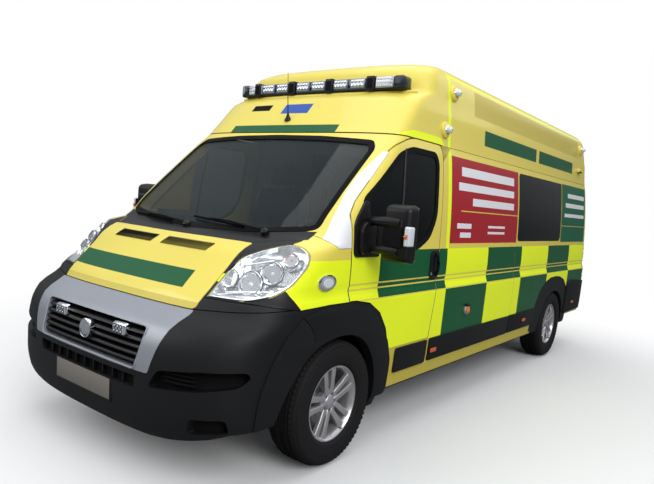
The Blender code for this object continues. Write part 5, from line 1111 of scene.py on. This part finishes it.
for sign, side_name in SIDES:
    lens = curve_normals(slice_of((0.001,), (0.0035,), headlight_zone(-0.001, sign)), 0.004)
    place(lens, "headlight_lens_" + side_name, "body", "headlight_" + side_name, LENS)
    tray = curve_normals(slice_of((0.046,), (0.056,), headlight_zone(-0.001, sign)), 0.060)
    rim = smooth(slice_of((0.003,), (0.060,), headlight_zone(-0.0015, sign), headlight_zone(-0.006, sign)))
    parts = [as_mat(tray, REFLECTOR), as_mat(rim, REFLECTOR)]
    for row in BOWLS:
        parts += bowl(sign, *row)
    for x0, y0, z0, x1, y1, z1 in TRIM_LINES:
        line = []
        for k in range(9):
            t = k / 8
            spot, way = out_of(sign * (x0 + (x1 - x0) * t), y0 + (y1 - y0) * t, z0 + (z1 - z0) * t)
            line.append(spot - way * 0.036)
        parts.append(rod(line, 0.010, REFLECTOR, 8, 0.6))
    place(parts, "headlight_inner_" + side_name)


# nose
def front_strip(x0, x1, z0, z1, inset, deep, mat, steps=20, width=0.0, low_inset=None):
    """A closed strip that follows the nose, its face set in by inset and deep back from there."""
    low_inset = inset if low_inset is None else low_inset
    points, faces = [], []
    for k in range(steps + 1):
        x = x0 + (x1 - x0) * k / steps
        low, high = front_y(x, z0) + low_inset, front_y(x, z1) + inset
        points += [(x, low, z0), (x, high, z1), (x, high + deep, z1), (x, low + deep, z0)]
    for k in range(steps):
        faces += ring_faces(4 * k, 4 * k + 4, 4)
    thing = raw(points, faces + [[3, 2, 1, 0], [4 * steps + i for i in range(4)]])
    if width:
        bevel(thing, width, 2)
    return as_mat(smooth(thing), mat)


parts = [front_strip(-0.52, 0.52, 0.575, 0.850, 0.075, 0.012, MATT, 24)]
for z in (0.640, 0.676, 0.712, 0.748, 0.784):
    half = 0.462 + 0.018 * (z - 0.61) / 0.2
    parts.append(front_strip(-half, half, z - 0.006, z + 0.009, 0.020, 0.040, BLACK, 24, 0.003, 0.014))
for x in (-0.36, -0.24, -0.12, 0, 0.12, 0.24, 0.36):
    parts.append(front_strip(x - 0.004, x + 0.004, 0.600, 0.830, 0.050, 0.030, MATT, 1))
place(parts, "grille_bars", "body", "grille")
ring = [(x, front_y(x, z) - 0.0005, z) for x, z in rounded(GRILLE_OPEN, 0.03)]
place(rod(ring + ring[:1], 0.0055, SATIN_GREY, 8), "grille_edge")
BADGE_Z, STROBE_X, STROBE_Z = 0.728, 0.285, 0.780
spot = (0, front_y(0, BADGE_Z) + 0.003, BADGE_Z)
place([turned([(-0.03, 0.050), (0.004, 0.053), (0.010, 0.052), (0.013, 0.048), (0.011, 0.044)], spot,
              (0, -1, 0.05), CHROME),
       turned([(0.0, 0.044), (0.010, 0.0435), (0.0115, 0.030), (0.012, 0.004)], spot, (0, -1, 0.05),
              SATIN_GREY, 40)],
      "plain_badge")
for sign, side_name in SIDES:
    y, x = front_y(STROBE_X, STROBE_Z), sign * STROBE_X
    parts = [soft_box(x - 0.054, y - 0.012, 0.748, x + 0.054, y + 0.030, 0.812, CHROME, 0.014, 4),
             soft_box(x - 0.046, y - 0.0145, 0.755, x + 0.046, y - 0.008, 0.805, LED_CLEAR, 0.006)]
    for row in range(2):
        for k in range(3):
            spot = (x - 0.028 + 0.028 * k, y - 0.0145, 0.768 + 0.024 * row)
            parts += [turned([(0, 0.011), (0.0015, 0.0115), (0.002, 0.009), (0.0015, 0.004)], spot, (0, -1, 0),
                             GLOSS_BLACK, 14),
                      turned([(0, 0.006), (0.003, 0.005), (0.004, 0.0015)], spot, (0, -1, 0), LENS_CLEAR, 12)]
    parts.append(round_bar((x, y + 0.02, STROBE_Z), (x, y + 0.07, STROBE_Z), 0.010, MATT))
    place(parts, "grille_strobe_" + side_name)

# slot strip, its ribs and backing, and the blank plate on its holder
parts = [front_strip(-0.49, 0.49, 0.505, 0.590, 0.032, 0.010, MATT, 24)]
for k in range(-5, 6):
    parts.append(front_strip(k * 0.088 - 0.004, k * 0.088 + 0.004, 0.512, 0.582, 0.014, 0.022, BLACK, 1))
place(parts, "slot_backing")
place([front_strip(-0.275, 0.275, 0.393, 0.519, -0.0010, 0.006, BLACK, 10, 0.001, -0.0062),
       front_strip(-0.262, 0.262, 0.402, 0.511, -0.0021, 0.003, PLATE, 10, 0.001, -0.0075)], "plain_plate")

# recesses of the bumper, and the raised flares round the front arches with their joint
FLARE_EDGE = [(-.645, .300), (-.643, .486), (-.628, .566), (-.573, .694), (-.487, .809), (-.367, .905),
              (-.20, .942),
              (.068, .948), (.240, .915), (.397, .814), (.512, .670), (.571, .528), (.577, .300)]
FLARE_JOINT = [(-.372, .915), (-.310, .866), (-.266, .817), (-.243, .757), (-.247, .757), (-.270, .816),
               (-.314, .864), (-.377, .911)]
FOG_BOX = [(0.50, 0.50), (1.03, 0.50), (1.03, 0.70), (0.50, 0.70)]
for sign, side_name in SIDES:
    shape, tow = flip(FOG, sign), flip(TOW, sign)
    parts = [as_mat(smooth(slice_of((0.045,), (0.055,), prism(flip(FOG_BOX, sign), "Y", -FAR, -0.40))), MATT),
             as_mat(smooth(slice_of((0.0035,), (0.050,), nose_cut(swollen(shape, 0.004), 0.03),
                                    nose_cut(swollen(shape, -0.0005), 0.03, -0.3))), BLACK)]
    x0, x1 = sorted((sign * 0.625, sign * 0.790))
    for z in (0.585, 0.606, 0.627, 0.648):
        parts.append(front_strip(x0, x1, z - 0.004, z + 0.004, 0.028, 0.014, MATT, 6))
    place(parts, "bumper_recess_" + side_name)
    place(smooth(slice_of((0.040,), (0.046,), nose_cut(swollen(tow, 0.02), 0.02))), "tow_pocket_" + side_name,
          mat=MATT)
for sign, side_name in SIDES:
    lip = slice_of((-0.007,), (0.004,), prism(rounded(FLARE_EDGE, 0.03), "X", *half_of(sign)),
                   arch(FRONT_ARCH_SHARES, 0), chin_cut(), prism(FLARE_JOINT, "X", -FAR, FAR))
    place(smooth(bevel(lip, 0.004, 2, 40)), "front_flare_" + side_name, mat=CHARCOAL)

# bonnet vents, wipers, dark printed border of the windscreen
VENT_SLATS = 19
for x0, x1, side_name in ((-0.446, -0.057, "right"), (0.030, 0.432, "left")):
    parts = []
    for k in range(VENT_SLATS):
        x, line = x0 + 0.012 + (x1 - x0 - 0.024) * k / (VENT_SLATS - 1), []
        for t in (0.0, 0.5, 1.0):
            spot, way = out_of(x - 0.010 + 0.020 * t, front_y(x, 1.190) + 0.006 + 0.052 * t, 1.190 + 0.042 * t)
            line.append(spot + way * 0.0020)
        parts.append(rod(line, 0.0055, MATT, 6, 0.8))
    place(parts, "bonnet_vent_" + side_name, "bonnet")


def wiper(pivot, tip, name):
    (start, way0), (end, way1) = out_of(*pivot), out_of(*tip)
    middle, out = out_of(*((start + end) / 2))
    base, far, centre = start + way0 * 0.020, end + way1 * 0.018, middle + out * 0.030
    blade = []
    for k in range(13):
        spot, way = out_of(*start.lerp(end, 0.30 + 0.80 * k / 12))
        blade.append(spot + way * 0.009)
    place([turned([(0, 0.026), (0.020, 0.024), (0.030, 0.014), (0.032, 0.003)], start, way0, BLACK, 24),
           rod([base, base.lerp(centre, 0.6), centre, centre.lerp(far, 0.6)], [0.011, 0.009, 0.008, 0.006],
               MATT, 8, 0.7),
           rod(blade, 0.0075, MATT, 8)], name)


wiper((0.588, -0.245, 1.309), (-0.010, -0.215, 1.345), "wiper_left")
wiper((-0.053, -0.290, 1.297), (-0.640, -0.225, 1.335), "wiper_right")
frit = slice_of((-0.0006,), (0.0012,), windscreen_zone(-0.003), windscreen_zone(-0.030))
place(smooth(frit, 60), "windscreen_border", mat=MATT)

# wheels: a tyre with grooves and tread blocks, a rim with pairs of spokes, bolts and a plain cap
FRONT_HALF, REAR_HALF_TRACK, RIM_REACH, BOLT_REACH = 0.905, 0.895, 0.204, 0.058
SPOKES, BLOCKS, BLOCK_SHARE, BLOCK_DEEP, BLOCK_SKEW = 5, 68, 0.60, 0.010, 0.010
SPOKE_TURN = math.pi / 2 + 0.20
TYRE_PROFILE = [(-0.092, 0.222), (-0.100, 0.232), (-0.108, 0.250), (-0.1125, 0.285), (-0.1105, 0.315),
                (-0.105, 0.336), (-0.098, 0.3475), (-0.086, 0.3555), (-0.060, 0.3585), (-0.058, 0.352),
                (-0.050, 0.352), (-0.048, 0.359), (-0.014, 0.3595), (-0.012, 0.352), (-0.004, 0.352),
                (-0.002, 0.3595), (0.002, 0.3595), (0.004, 0.352), (0.012, 0.352), (0.014, 0.3595),
                (0.048, 0.359),
                (0.050, 0.352), (0.058, 0.352), (0.060, 0.3585), (0.086, 0.3555), (0.098, 0.3475),
                (0.105, 0.336),
                (0.1075, 0.330), (0.1095, 0.328), (0.1105, 0.315), (0.1125, 0.285), (0.1110, 0.262),
                (0.1075, 0.252), (0.1085, 0.248), (0.104, 0.236), (0.100, 0.232), (0.092, 0.222)]
# rows of tread blocks: across from, to, radius at each, skewed or not
BLOCK_ROWS = [(-0.108, -0.063, 0.340, 0.3635, 0), (-0.045, -0.017, 0.357, 0.365, BLOCK_SKEW),
              (0.017, 0.045, 0.357, 0.365, BLOCK_SKEW), (0.063, 0.108, 0.3635, 0.340, 0)]
BARREL = [(-0.092, 0.216), (-0.092, 0.2205), (-0.082, 0.2205), (-0.076, 0.208), (0.050, 0.200), (0.076, 0.208),
          (0.083, 0.2205), (0.092, 0.2205), (0.0925, 0.214), (0.086, 0.207), (0.070, 0.199), (0.050, 0.194),
          (-0.076, 0.202), (-0.086, 0.210)]
DISH = [(0.020, 0.074), (0.050, 0.080), (0.060, 0.076), (0.064, 0.060), (0.061, 0.050), (0.064, 0.044),
        (0.068, 0.040), (0.068, 0.0005)]
CAP = [(0.066, 0.037), (0.073, 0.036), (0.076, 0.031), (0.077, 0.0005)]
BOLT_CUP = [(0.055, 0.013), (0.0665, 0.013), (0.066, 0.0105), (0.056, 0.010), (0.056, 0.0005)]
BOLT = [(0.055, 0.008), (0.0635, 0.0075), (0.065, 0.0005)]
# one spoke as reach from the hub and offset from the pair's middle
SPOKE = [(0.040, 0.004), (0.075, 0.0085), (0.130, 0.013), (RIM_REACH, 0.019), (RIM_REACH, 0.060),
         (0.130, 0.0465), (0.085, 0.042), (0.052, 0.038)]


def polar(along, reach, angle, offset=0.0):
    return (along + reach * math.cos(angle) - offset * math.sin(angle),
            TYRE_R + reach * math.sin(angle) + offset * math.cos(angle))


def tread_blocks(track, along):
    points, faces = [], []
    for row, (x0, x1, r0, r1, skew) in enumerate(BLOCK_ROWS):
        for k in range(BLOCKS):
            start, first = math.tau * (k + (0.5 if row % 2 else 0.0)) / BLOCKS, len(points)
            for a in (start, start + math.tau / BLOCKS * BLOCK_SHARE):
                for x, r, turn in ((x0, r0, -skew), (x1, r1, skew), (x1, r1 - BLOCK_DEEP, skew),
                                   (x0, r0 - BLOCK_DEEP, -skew)):
                    points.append((track + x, *polar(along, r, a + turn)))
            faces += ring_faces(first, first + 4, 4)
            faces += [[first + 3, first + 2, first + 1, first], [first + 4 + i for i in range(4)]]
    return as_mat(raw(points, faces), RUBBER)


def wheel(track, along, corner):
    centre, sign = Vector((track, along, TYRE_R)), 1 if track > 0 else -1
    place([turned(TYRE_PROFILE, centre, (1, 0, 0), RUBBER, 96, True), tread_blocks(track, along)],
          "tyre_skin_" + corner, "wheel_" + corner, "tyre_" + corner)
    rim = []
    for profile, mat, steps in ((BARREL, ALLOY, 96), (DISH, ALLOY, 64), (CAP, SATIN_GREY, 48)):
        rim.append(turned([(sign * a, r) for a, r in profile], centre, (1, 0, 0), mat, steps,
                          profile is BARREL))
    for number in range(SPOKES):
        middle = SPOKE_TURN + math.tau * number / SPOKES
        for side in (1, -1):
            outline = [polar(along, reach, middle, side * offset) for reach, offset in SPOKE]
            low, high = sorted((sign * 0.040, sign * 0.082))
            beam = prism(outline, "X", track + low, track + high)
            for vertex in beam.data.vertices:
                reach = math.hypot(vertex.co.y - along, vertex.co.z - TYRE_R)
                inward = 0.020 * (1 - min(1.0, reach / RIM_REACH)) ** 1.2
                vertex.co.x -= sign * (inward if abs(vertex.co.x - track) > 0.06 else -0.012 * reach / 0.2)
            rim.append(as_mat(smooth(bevel(edited(beam, face_out), 0.0045)), ALLOY))
        spot = (track, *polar(along, BOLT_REACH, middle + math.pi / SPOKES))
        for profile, mat, steps in ((BOLT_CUP, GLOSS_BLACK, 20), (BOLT, STEEL, 6)):
            rim.append(turned([(sign * a, r) for a, r in profile], spot, (1, 0, 0), mat, steps))
    # the valve
    y, z = polar(along, 0.2035, math.radians(-60))
    rim.append(round_bar((track + sign * 0.072, y, z), (track + sign * 0.096, y + 0.003, z + 0.004), 0.003,
                         MATT, 10))
    place(rim, "rim_skin_" + corner, "wheel_" + corner, "rim_" + corner)


for sign, side_name in SIDES:
    wheel(sign * FRONT_HALF, 0.0, "front_" + side_name)
    wheel(sign * REAR_HALF_TRACK, WHEELBASE, "rear_" + side_name)


# fittings on the sides
def on_side(y, z, sign=1, out=0.0):
    return Vector((sign * (side_x(y, z) + out), y, z))


def side_patch(points, out, deep, sign, mat, round_by=0.015, width=0.003):
    """A raised patch on the side of the body with the outline given as (y, z)."""
    thing = slice_of((-out, 0), (deep, 0), prism(rounded(points, round_by), "X", *half_of(sign)))
    return as_mat(smooth(bevel(thing, width, 2, 40), 40), mat)


def box_points(y0, z0, y1, z1):
    return [(y0, z0), (y1, z0), (y1, z1), (y0, z1)]


def moulding(points, sign):
    return side_patch(points, 0.012, 0.002, sign, CHARCOAL, 0.02, 0.005)


def grip(points, sign):
    """A handle's bar through (y, z, how far out)."""
    return rod([on_side(y, z, sign, out) for y, z, out in points], 0.013, MATT, 12, 0.7)


MIRROR_BASE = [(0.062, 1.215), (0.330, 1.212), (0.300, 1.290), (0.215, 1.40), (0.190, 1.545), (0.165, 1.545),
               (0.085, 1.445), (0.062, 1.40)]
MIRROR_FOOT = [(0.090, 1.235), (0.270, 1.232), (0.240, 1.40), (0.140, 1.43), (0.090, 1.38)]
REAR_MOULDING = [(4.500, 0.440), (5.190, 0.450), (5.190, 0.800), (4.640, 0.840), (4.500, 0.800)]
MARKERS = [(1.160, 0.510), (3.081, 0.521), (4.782, 0.558)]
for sign, side_name in SIDES:
    door_body = "door_" + side_name
    # window border, division bar, handle in its dark cup, lock
    outline = rounded(metres(DOOR_WINDOW_SHARES, WHEELBASE), 0.05)
    border = slice_of((-0.0015, 0), (0.006, 0), prism(grown(outline, 0.020), "X", *half_of(sign)),
                      prism(grown(outline, -0.020), "X", -FAR, FAR))
    bar = [on_side(y, z, sign, -0.001) for y, z in ((0.630, 1.905), (0.600, 1.60), (0.570, 1.275))]
    place([as_mat(smooth(border, 40), MATT), rod(bar, 0.013, BLACK, 8, 0.5)], "door_window_border_" + side_name,
          door_body)
    place([side_patch(box_points(1.010, 1.030, 1.148, 1.240), 0.005, 0.002, sign, BLACK, 0.05),
           grip([(1.105, 1.058, 0.002), (1.102, 1.090, 0.020), (1.098, 1.145, 0.024), (1.094, 1.195, 0.020),
                 (1.092, 1.222, 0.002)], sign)], "door_handle_" + side_name, door_body)
    place(turned([(-0.004, 0.011), (0.007, 0.011), (0.008, 0.007), (0.008, 0.0005)],
                 on_side(1.035, 1.075, sign), (sign, 0, 0), CHROME, 20), "door_lock_" + side_name, door_body)
    # mirror: base on the door, two arms, head with two glasses and a lamp
    parts = [side_patch(MIRROR_BASE, 0.012, 0.003, sign, BLACK, 0.03, 0.004),
             side_patch(MIRROR_FOOT, 0.045, 0.0, sign, BLACK, 0.03, 0.012)]
    for z, thick in ((1.432, 0.020), (1.268, 0.018)):
        arm = [(sign * x, y, z + rise) for x, y, rise in ((0.985, 0.185, -0.012), (1.06, 0.170, 0),
                                                          (1.14, 0.165, 0.004), (1.225, 0.175, 0))]
        parts.append(rod(arm, thick, BLACK, 12, 1.35))
    head = box(sign * 1.095, 0.176, 1.196, sign * 1.296, 0.282, 1.545)
    for vertex in head.data.vertices:
        if vertex.co.y < 0.2:
            vertex.co.x -= sign * 0.012 if abs(vertex.co.x) > 1.2 else -sign * 0.010
            vertex.co.z += -0.018 if vertex.co.z > 1.4 else 0.018
    x0, x1 = sorted((sign * 1.122, sign * 1.275))
    parts += [as_mat(smooth(bevel(head, 0.034, 6)), BLACK),
              soft_box(sign * 1.075, 0.168, 1.245, sign * 1.24, 0.20, 1.455, BLACK, 0.012, 4),
              soft_box(x0, 0.160, 1.290, x1 - (0.03 if sign > 0 else 0), 0.19, 1.412, MATT, 0.008, 4),
              soft_box(sign * 1.112, 0.276, 1.325, sign * 1.280, 0.2845, 1.525, CHROME),
              soft_box(sign * 1.112, 0.276, 1.215, sign * 1.280, 0.2845, 1.310, CHROME),
              soft_box(sign * 1.262, 0.162, 1.305, sign * 1.2995, 0.225, 1.418, LENS_CLEAR, 0.010, 4),
              round_bar((sign * 1.270, 0.163, 1.360), (sign * 1.285, 0.1595, 1.360), 0.012, LENS_ORANGE, 20)]
    place(parts, "mirror_" + side_name + "_skin", door_body, "mirror_" + side_name)
    # lower mouldings, side markers
    place(moulding(box_points(0.625, 0.432, 1.060, 0.598), sign), "door_moulding_" + side_name, door_body)
    place([moulding(box_points(1.098, 0.435, 2.655, 0.602), sign),
           moulding(box_points(2.668, 0.437, 3.400, 0.604), sign), moulding(REAR_MOULDING, sign)],
          "side_moulding_" + side_name)
    for number, (y, z) in enumerate(MARKERS):
        place([side_patch(box_points(y - 0.052, z - 0.022, y + 0.052, z + 0.022), 0.017, 0.0, sign, MATT,
                          0.01, 0.002),
               side_patch(box_points(y - 0.045, z - 0.016, y + 0.045, z + 0.016), 0.021, 0.0, sign, LENS_ORANGE,
                          0.008)], "side_marker_%s_%d" % (side_name, number))
    # oval warning lamp on the wing
    oval = []
    for radius, deep, mat in ((0.046, 0.010, CHROME), (0.037, 0.0135, LED_CLEAR), (0.028, 0.0155, LENS_CLEAR)):
        part = lathe([(-0.004, radius), (deep * 0.6, radius), (deep, radius * 0.86), (deep, 0.0005)], (0, 0, 0),
                     (1, 0, 0))
        part.data.transform(Matrix.Diagonal((1, 1.75, 1, 1)))
        oval.append(as_mat(smooth(part), mat))
    place(set_on(merged(oval), *out_of(sign * 1.005, -0.172, 1.080)), "wing_lamp_" + side_name)

# power socket on the left side, sliding door rail and handle on the right side
spot = on_side(1.688, 0.755)
place([turned([(-0.004, 0.040), (0.010, 0.040), (0.016, 0.034), (0.016, 0.0005)], spot, (1, 0, 0),
              SATIN_GREY, 40),
       turned([(0.014, 0.028), (0.024, 0.027), (0.027, 0.022), (0.027, 0.0005)], spot, (1, 0, 0),
              LENS_AMBER, 32),
       soft_box(spot.x - 0.002, 1.660, 0.786, spot.x + 0.024, 1.716, 0.803, BLACK)], "power_socket")
place(side_patch(box_points(2.48, 1.262, 4.30, 1.292), 0.004, 0.002, -1, BLACK, 0.01, 0.002),
      "sliding_door_rail")
place([side_patch(box_points(2.300, 1.035, 2.420, 1.230), 0.005, 0.002, -1, BLACK, 0.05),
       grip([(2.385, 1.055, 0.002), (2.385, 1.09, 0.020), (2.385, 1.18, 0.020), (2.385, 1.215, 0.002)], -1)],
      "sliding_door_handle")

# painted sill below the doors, body colour darkened as painted shade, down to the floor's edge
SILL_FROM, SILL_TO, SILL_STEPS, SILL_Z = 0.590, 3.395, 12, 0.422
for sign, side_name in SIDES:
    points, faces = [], []
    for k in range(SILL_STEPS + 1):
        y = SILL_FROM + (SILL_TO - SILL_FROM) * k / SILL_STEPS
        x = side_x(y, 0.432) - 0.004
        points += [(sign * (x - step), y, z)
                   for step, z in ((0, SILL_Z), (0.006, 0.340), (0.030, 0.334), (0.024, SILL_Z))]
    for k in range(SILL_STEPS):
        faces += ring_faces(4 * k, 4 * k + 4, 4)
    faces += [[0, 1, 2, 3], [4 * SILL_STEPS + i for i in range(4)]]
    place(raw(points, faces), "painted_sill_" + side_name, mat=PALE_PAINTED_SHADE)

# rear lamps in segments over a dark base, rear door trim and hinges
LAMP_PARTS = [(0.884, 1.060, LENS_RED), (1.066, 1.170, LENS_AMBER), (1.176, 1.270, LENS_CLEAR),
              (1.276, 1.418, LENS_RED)]


def lamp_part(sign, zone, outer, inner, mat):
    if sign < 0:
        zone.data.transform(Matrix.Diagonal((-1, 1, 1, 1)))
        zone.data.flip_normals()
    return as_mat(smooth(slice_of((outer, 0), (inner, 0), zone)), mat)


for sign, side_name in SIDES:
    parts = [lamp_part(sign, lamp_zone(-0.004, low, top), 0.0005, 0.016, mat) for low, top, mat in LAMP_PARTS]
    parts.append(lamp_part(sign, lamp_zone(-0.001), 0.006, 0.020, MATT))
    place(parts, "rear_lamp_lens_" + side_name, "body", "rear_lamp_" + side_name)
    border = slice_of((-0.0025, 0), (0.005, 0), box(sign * 0.112, 5.0, 1.342, sign * 0.798, FAR + 3, 1.968),
                      box(sign * 0.146, 5.0, 1.376, sign * 0.764, FAR + 3, 1.934))
    parts = [as_mat(smooth(border), MATT)]
    for z in (0.78, 1.20, 1.75):
        x, y = sign * 0.896, tail_y(0.880, z)
        parts += [round_bar((x, y + 0.006, z - 0.045), (x, y + 0.006, z + 0.045), 0.011, BLACK, 20),
                  soft_box(sign * 0.790, y - 0.004, z - 0.030, sign * 0.894, y + 0.008, z + 0.030, BLACK)]
    place(parts, "rear_door_trim_" + side_name, "rear_door_" + side_name)
y = tail_y(0.10, 1.02)
place([soft_box(0.030, y - 0.004, 0.985, 0.175, y + 0.006, 1.075, BLACK, 0.010, 4),
       soft_box(0.045, y + 0.004, 1.022, 0.160, y + 0.028, 1.046, MATT, 0.009, 4),
       turned([(0, 0.011), (0.010, 0.010), (0.011, 0.0005)], (0.150, y + 0.003, 1.003), (0, 1, 0), CHROME, 20)],
      "rear_handle", "rear_door_left")
# tread of the rear step, from where the solid's top edge lies
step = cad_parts["rear_step"]
step_points = [step.matrix_world @ v.co for v in step.data.vertices]
step_rear = max(p.y for p in step_points) - AXLE
deck = max(p.z for p in step_points if p.y - AXLE > step_rear - 0.02)
parts = []
for k in range(6):
    y = step_rear - 0.012 - 0.018 * k
    parts.append(soft_box(-0.585, y - 0.004, deck - 0.002, 0.585, y + 0.004, deck + 0.003, STEEL, 0.002, 2))
place(parts, "step_tread")


# seats, dashboard and bed
def cushion(points, x0, x1, radius, name, node=None):
    thing = smooth(bevel(prism(points, "X", x0, x1), radius, 5), 60)
    place(thing, name, "body", node, SEAT)


SEAT_X, SEAT_FILL = 0.5, 0.85
CUSHION = [(0.512, 0.930), (0.530, 0.860), (0.955, 0.860), (0.985, 0.960), (0.930, 1.045), (0.560, 1.030)]
BACKREST = [(0.945, 1.055), (1.030, 0.985), (1.090, 1.400), (1.118, 1.590), (1.055, 1.595), (0.985, 1.440)]
HEADREST = [(1.045, 1.630), (1.115, 1.625), (1.130, 1.785), (1.075, 1.795)]
for sign, name in ((1, "driver"), (-1, "passenger")):
    x = sign * SEAT_X
    cushion(CUSHION, x - 0.238, x + 0.238, 0.045, "seat_cushion_" + name, "seat_" + name)
    cushion(BACKREST, x - 0.238 + 0.010, x + 0.238 - 0.010, 0.040, "seat_back_" + name)
    cushion(HEADREST, x - 0.125, x + 0.125, 0.030, "headrest_" + name)
    place([soft_box(x - 0.205, 0.585, 0.700, x + 0.205, 0.975, 0.868, SEAT_TRIM, 0.02)]
          + [round_bar((x + side, 1.088, 1.57), (x + side, 1.088, 1.66), 0.007, STEEL, 12)
             for side in (-0.06, 0.06)],
          "seat_frame_" + name)
# dashboard: dark top roll, binnacle hood, middle panel and vents
parts = [soft_box(-0.84, 0.020, 1.262, 0.84, 0.240, 1.283, DASH_DARK, 0.008),
         soft_box(0.33, 0.235, 1.235, 0.67, 0.330, 1.318, DASH_DARK, 0.030, 5),
         soft_box(-0.17, 0.375, 0.98, 0.17, 0.415, 1.235, DASH_DARK, 0.015, 4)]
for x in (-0.74, -0.09, 0.09, 0.74):
    parts.append(soft_box(x - 0.065, 0.392, 1.170, x + 0.065, 0.420, 1.228, MATT, 0.008))
    for z in [1.180 + 0.012 * k for k in range(4)]:
        parts.append(soft_box(x - 0.055, 0.412, z, x + 0.055, 0.424, z + 0.004, DASH_DARK, 0.001, 1))
place(parts, "dash_details")
bed = place(soft_box(-0.262, 2.33, 0.842, 0.262, 4.27, 0.905, BED, 0.028, 5), "bed_cushion")

# the rest of the solids keep their shape
SKINS = {PALE: "cab_frame", INNER: "bulkhead locker_unit", BED: "stretcher", DASH: "dashboard",
         SEAT: "seat_driver seat_passenger", BLACK: "light_bar steering_wheel grille",
         STEEL: "rear_step exhaust knuckle_left knuckle_right", CHARCOAL: "mirror_left mirror_right",
         CHASSIS: "floor front_subframe rear_axle engine", LENS_RED: "rear_lamp_left rear_lamp_right"}
for mat, names in SKINS.items():
    for name in names.split():
        as_mat(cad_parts[name], mat)
for helper in (smooth_hull, inner_hull, thin_hull, skin, thin_skin, glass_skin):
    bpy.data.objects.remove(helper, do_unlink=True)


# floor: pale under the object and white far off, as the camera sees it, and dim in the paint
def shader_nodes(tree, *kinds):
    return [tree.nodes.new("ShaderNode" + kind) for kind in kinds]


FLOOR_HALF, FADE_FROM, FADE_TO = 40, 2.2, 5.2
scene = bpy.context.scene
scene.view_settings.view_transform = "Standard"
corners = [(-FLOOR_HALF, -FLOOR_HALF, 0), (FLOOR_HALF, -FLOOR_HALF, 0), (FLOOR_HALF, FLOOR_HALF, 0),
           (-FLOOR_HALF, FLOOR_HALF, 0)]
ground = raw(corners, [[0, 1, 2, 3]], False, "studio_floor")
ground_mat = bpy.data.materials.new("studio_floor")
ground_mat.use_nodes = True
tree = ground_mat.node_tree
pale_floor, wire = tree.nodes["Principled BSDF"], tree.links.new
where, far_node, fade, glow, blend, seen, dim, pick = shader_nodes(
    tree, "NewGeometry", "VectorMath", "MapRange", "Emission", "MixShader", "LightPath", "BsdfDiffuse",
    "MixShader")
pale_floor.inputs["Base Color"].default_value = (0.80, 0.80, 0.80, 1)
pale_floor.inputs["Roughness"].default_value = 0.9
far_node.operation, fade.interpolation_type = "LENGTH", "SMOOTHSTEP"
fade.inputs["From Min"].default_value, fade.inputs["From Max"].default_value = FADE_FROM, FADE_TO
glow.inputs["Strength"].default_value = 1.0
dim.inputs["Color"].default_value = (0.20, 0.20, 0.20, 1)
wire(where.outputs["Position"], far_node.inputs[0])
wire(far_node.outputs["Value"], fade.inputs["Value"])
for mixer, share, first, second in ((blend, fade.outputs["Result"], pale_floor, glow),
                                    (pick, seen.outputs["Is Camera Ray"], dim, blend)):
    wire(share, mixer.inputs[0])
    wire(first.outputs[0], mixer.inputs[1])
    wire(second.outputs[0], mixer.inputs[2])
wire(pick.outputs[0], tree.nodes["Material Output"].inputs["Surface"])
ground.data.materials.append(ground_mat)


# lights and sky
def area(name, spot, aim, size, power):
    lamp = bpy.data.lights.new(name, "AREA")
    lamp.energy, lamp.shape = power, "RECTANGLE"
    lamp.size, lamp.size_y = size
    thing = link(bpy.data.objects.new(name, lamp))
    thing.location = spot
    thing.rotation_euler = (Vector(aim) - Vector(spot)).to_track_quat("-Z", "Y").to_euler()


area("key", (10, -6.5, 7.5), (0, 0, 1), (7, 7), 900)
area("fill", (-6, -9, 6), (0, 0, 1), (7, 5), 300)
area("rim", (4, 10, 7), (0, 0, 1.2), (8, 4), 90)
area("overhead", (0, -1, 9), (0, 0, 0), (8, 10), 330)
world = bpy.data.worlds.new("studio")
scene.world = world
world.use_nodes = True
world.node_tree.nodes.clear()
out, soft, plain, way, split_way, sky, rays, mix = shader_nodes(
    world.node_tree, "OutputWorld", "Background", "Background", "NewGeometry", "SeparateXYZ", "MapRange",
    "LightPath", "MixShader")
wire = world.node_tree.links.new
wire(way.outputs["Incoming"], split_way.inputs[0])
sky.inputs["From Min"].default_value, sky.inputs["From Max"].default_value = 0.0, -0.65
sky.inputs["To Min"].default_value, sky.inputs["To Max"].default_value = 0.10, 0.75
wire(split_way.outputs["Z"], sky.inputs["Value"])
wire(sky.outputs["Result"], soft.inputs["Strength"])
soft.inputs["Color"].default_value = (0.80, 0.84, 0.90, 1)
plain.inputs["Color"].default_value = (1, 1, 1, 1)
wire(rays.outputs["Is Camera Ray"], mix.inputs[0])
wire(soft.outputs[0], mix.inputs[1])
wire(plain.outputs[0], mix.inputs[2])
wire(mix.outputs[0], out.inputs["Surface"])

# camera, as solved from the photo: focal length in pixels, its place and its turns in degrees
FOCAL_PIXELS, PICTURE_WIDTH, SENSOR = 588.5, 654, 36
CAMERA_SPOT = (2.915, -2.716 + AXLE, 1.525)
yaw, pitch, roll = math.radians(37.22), math.radians(-4.0), math.radians(4.89)
camera_data = bpy.data.cameras.new("camera")
camera_data.lens = FOCAL_PIXELS / PICTURE_WIDTH * SENSOR
camera_data.sensor_width, camera_data.clip_end = SENSOR, 200
camera = link(bpy.data.objects.new("camera", camera_data))
look = Vector((-math.sin(yaw) * math.cos(pitch), math.cos(yaw) * math.cos(pitch), math.sin(pitch)))
level = Vector((math.cos(yaw), math.sin(yaw), 0))
above = level.cross(look)
right, top = level * math.cos(roll) + above * math.sin(roll), -level * math.sin(roll) + above * math.cos(roll)
camera.matrix_world = Matrix((right, top, -look)).transposed().to_4x4()
camera.matrix_world.translation = CAMERA_SPOT
scene.camera = camera
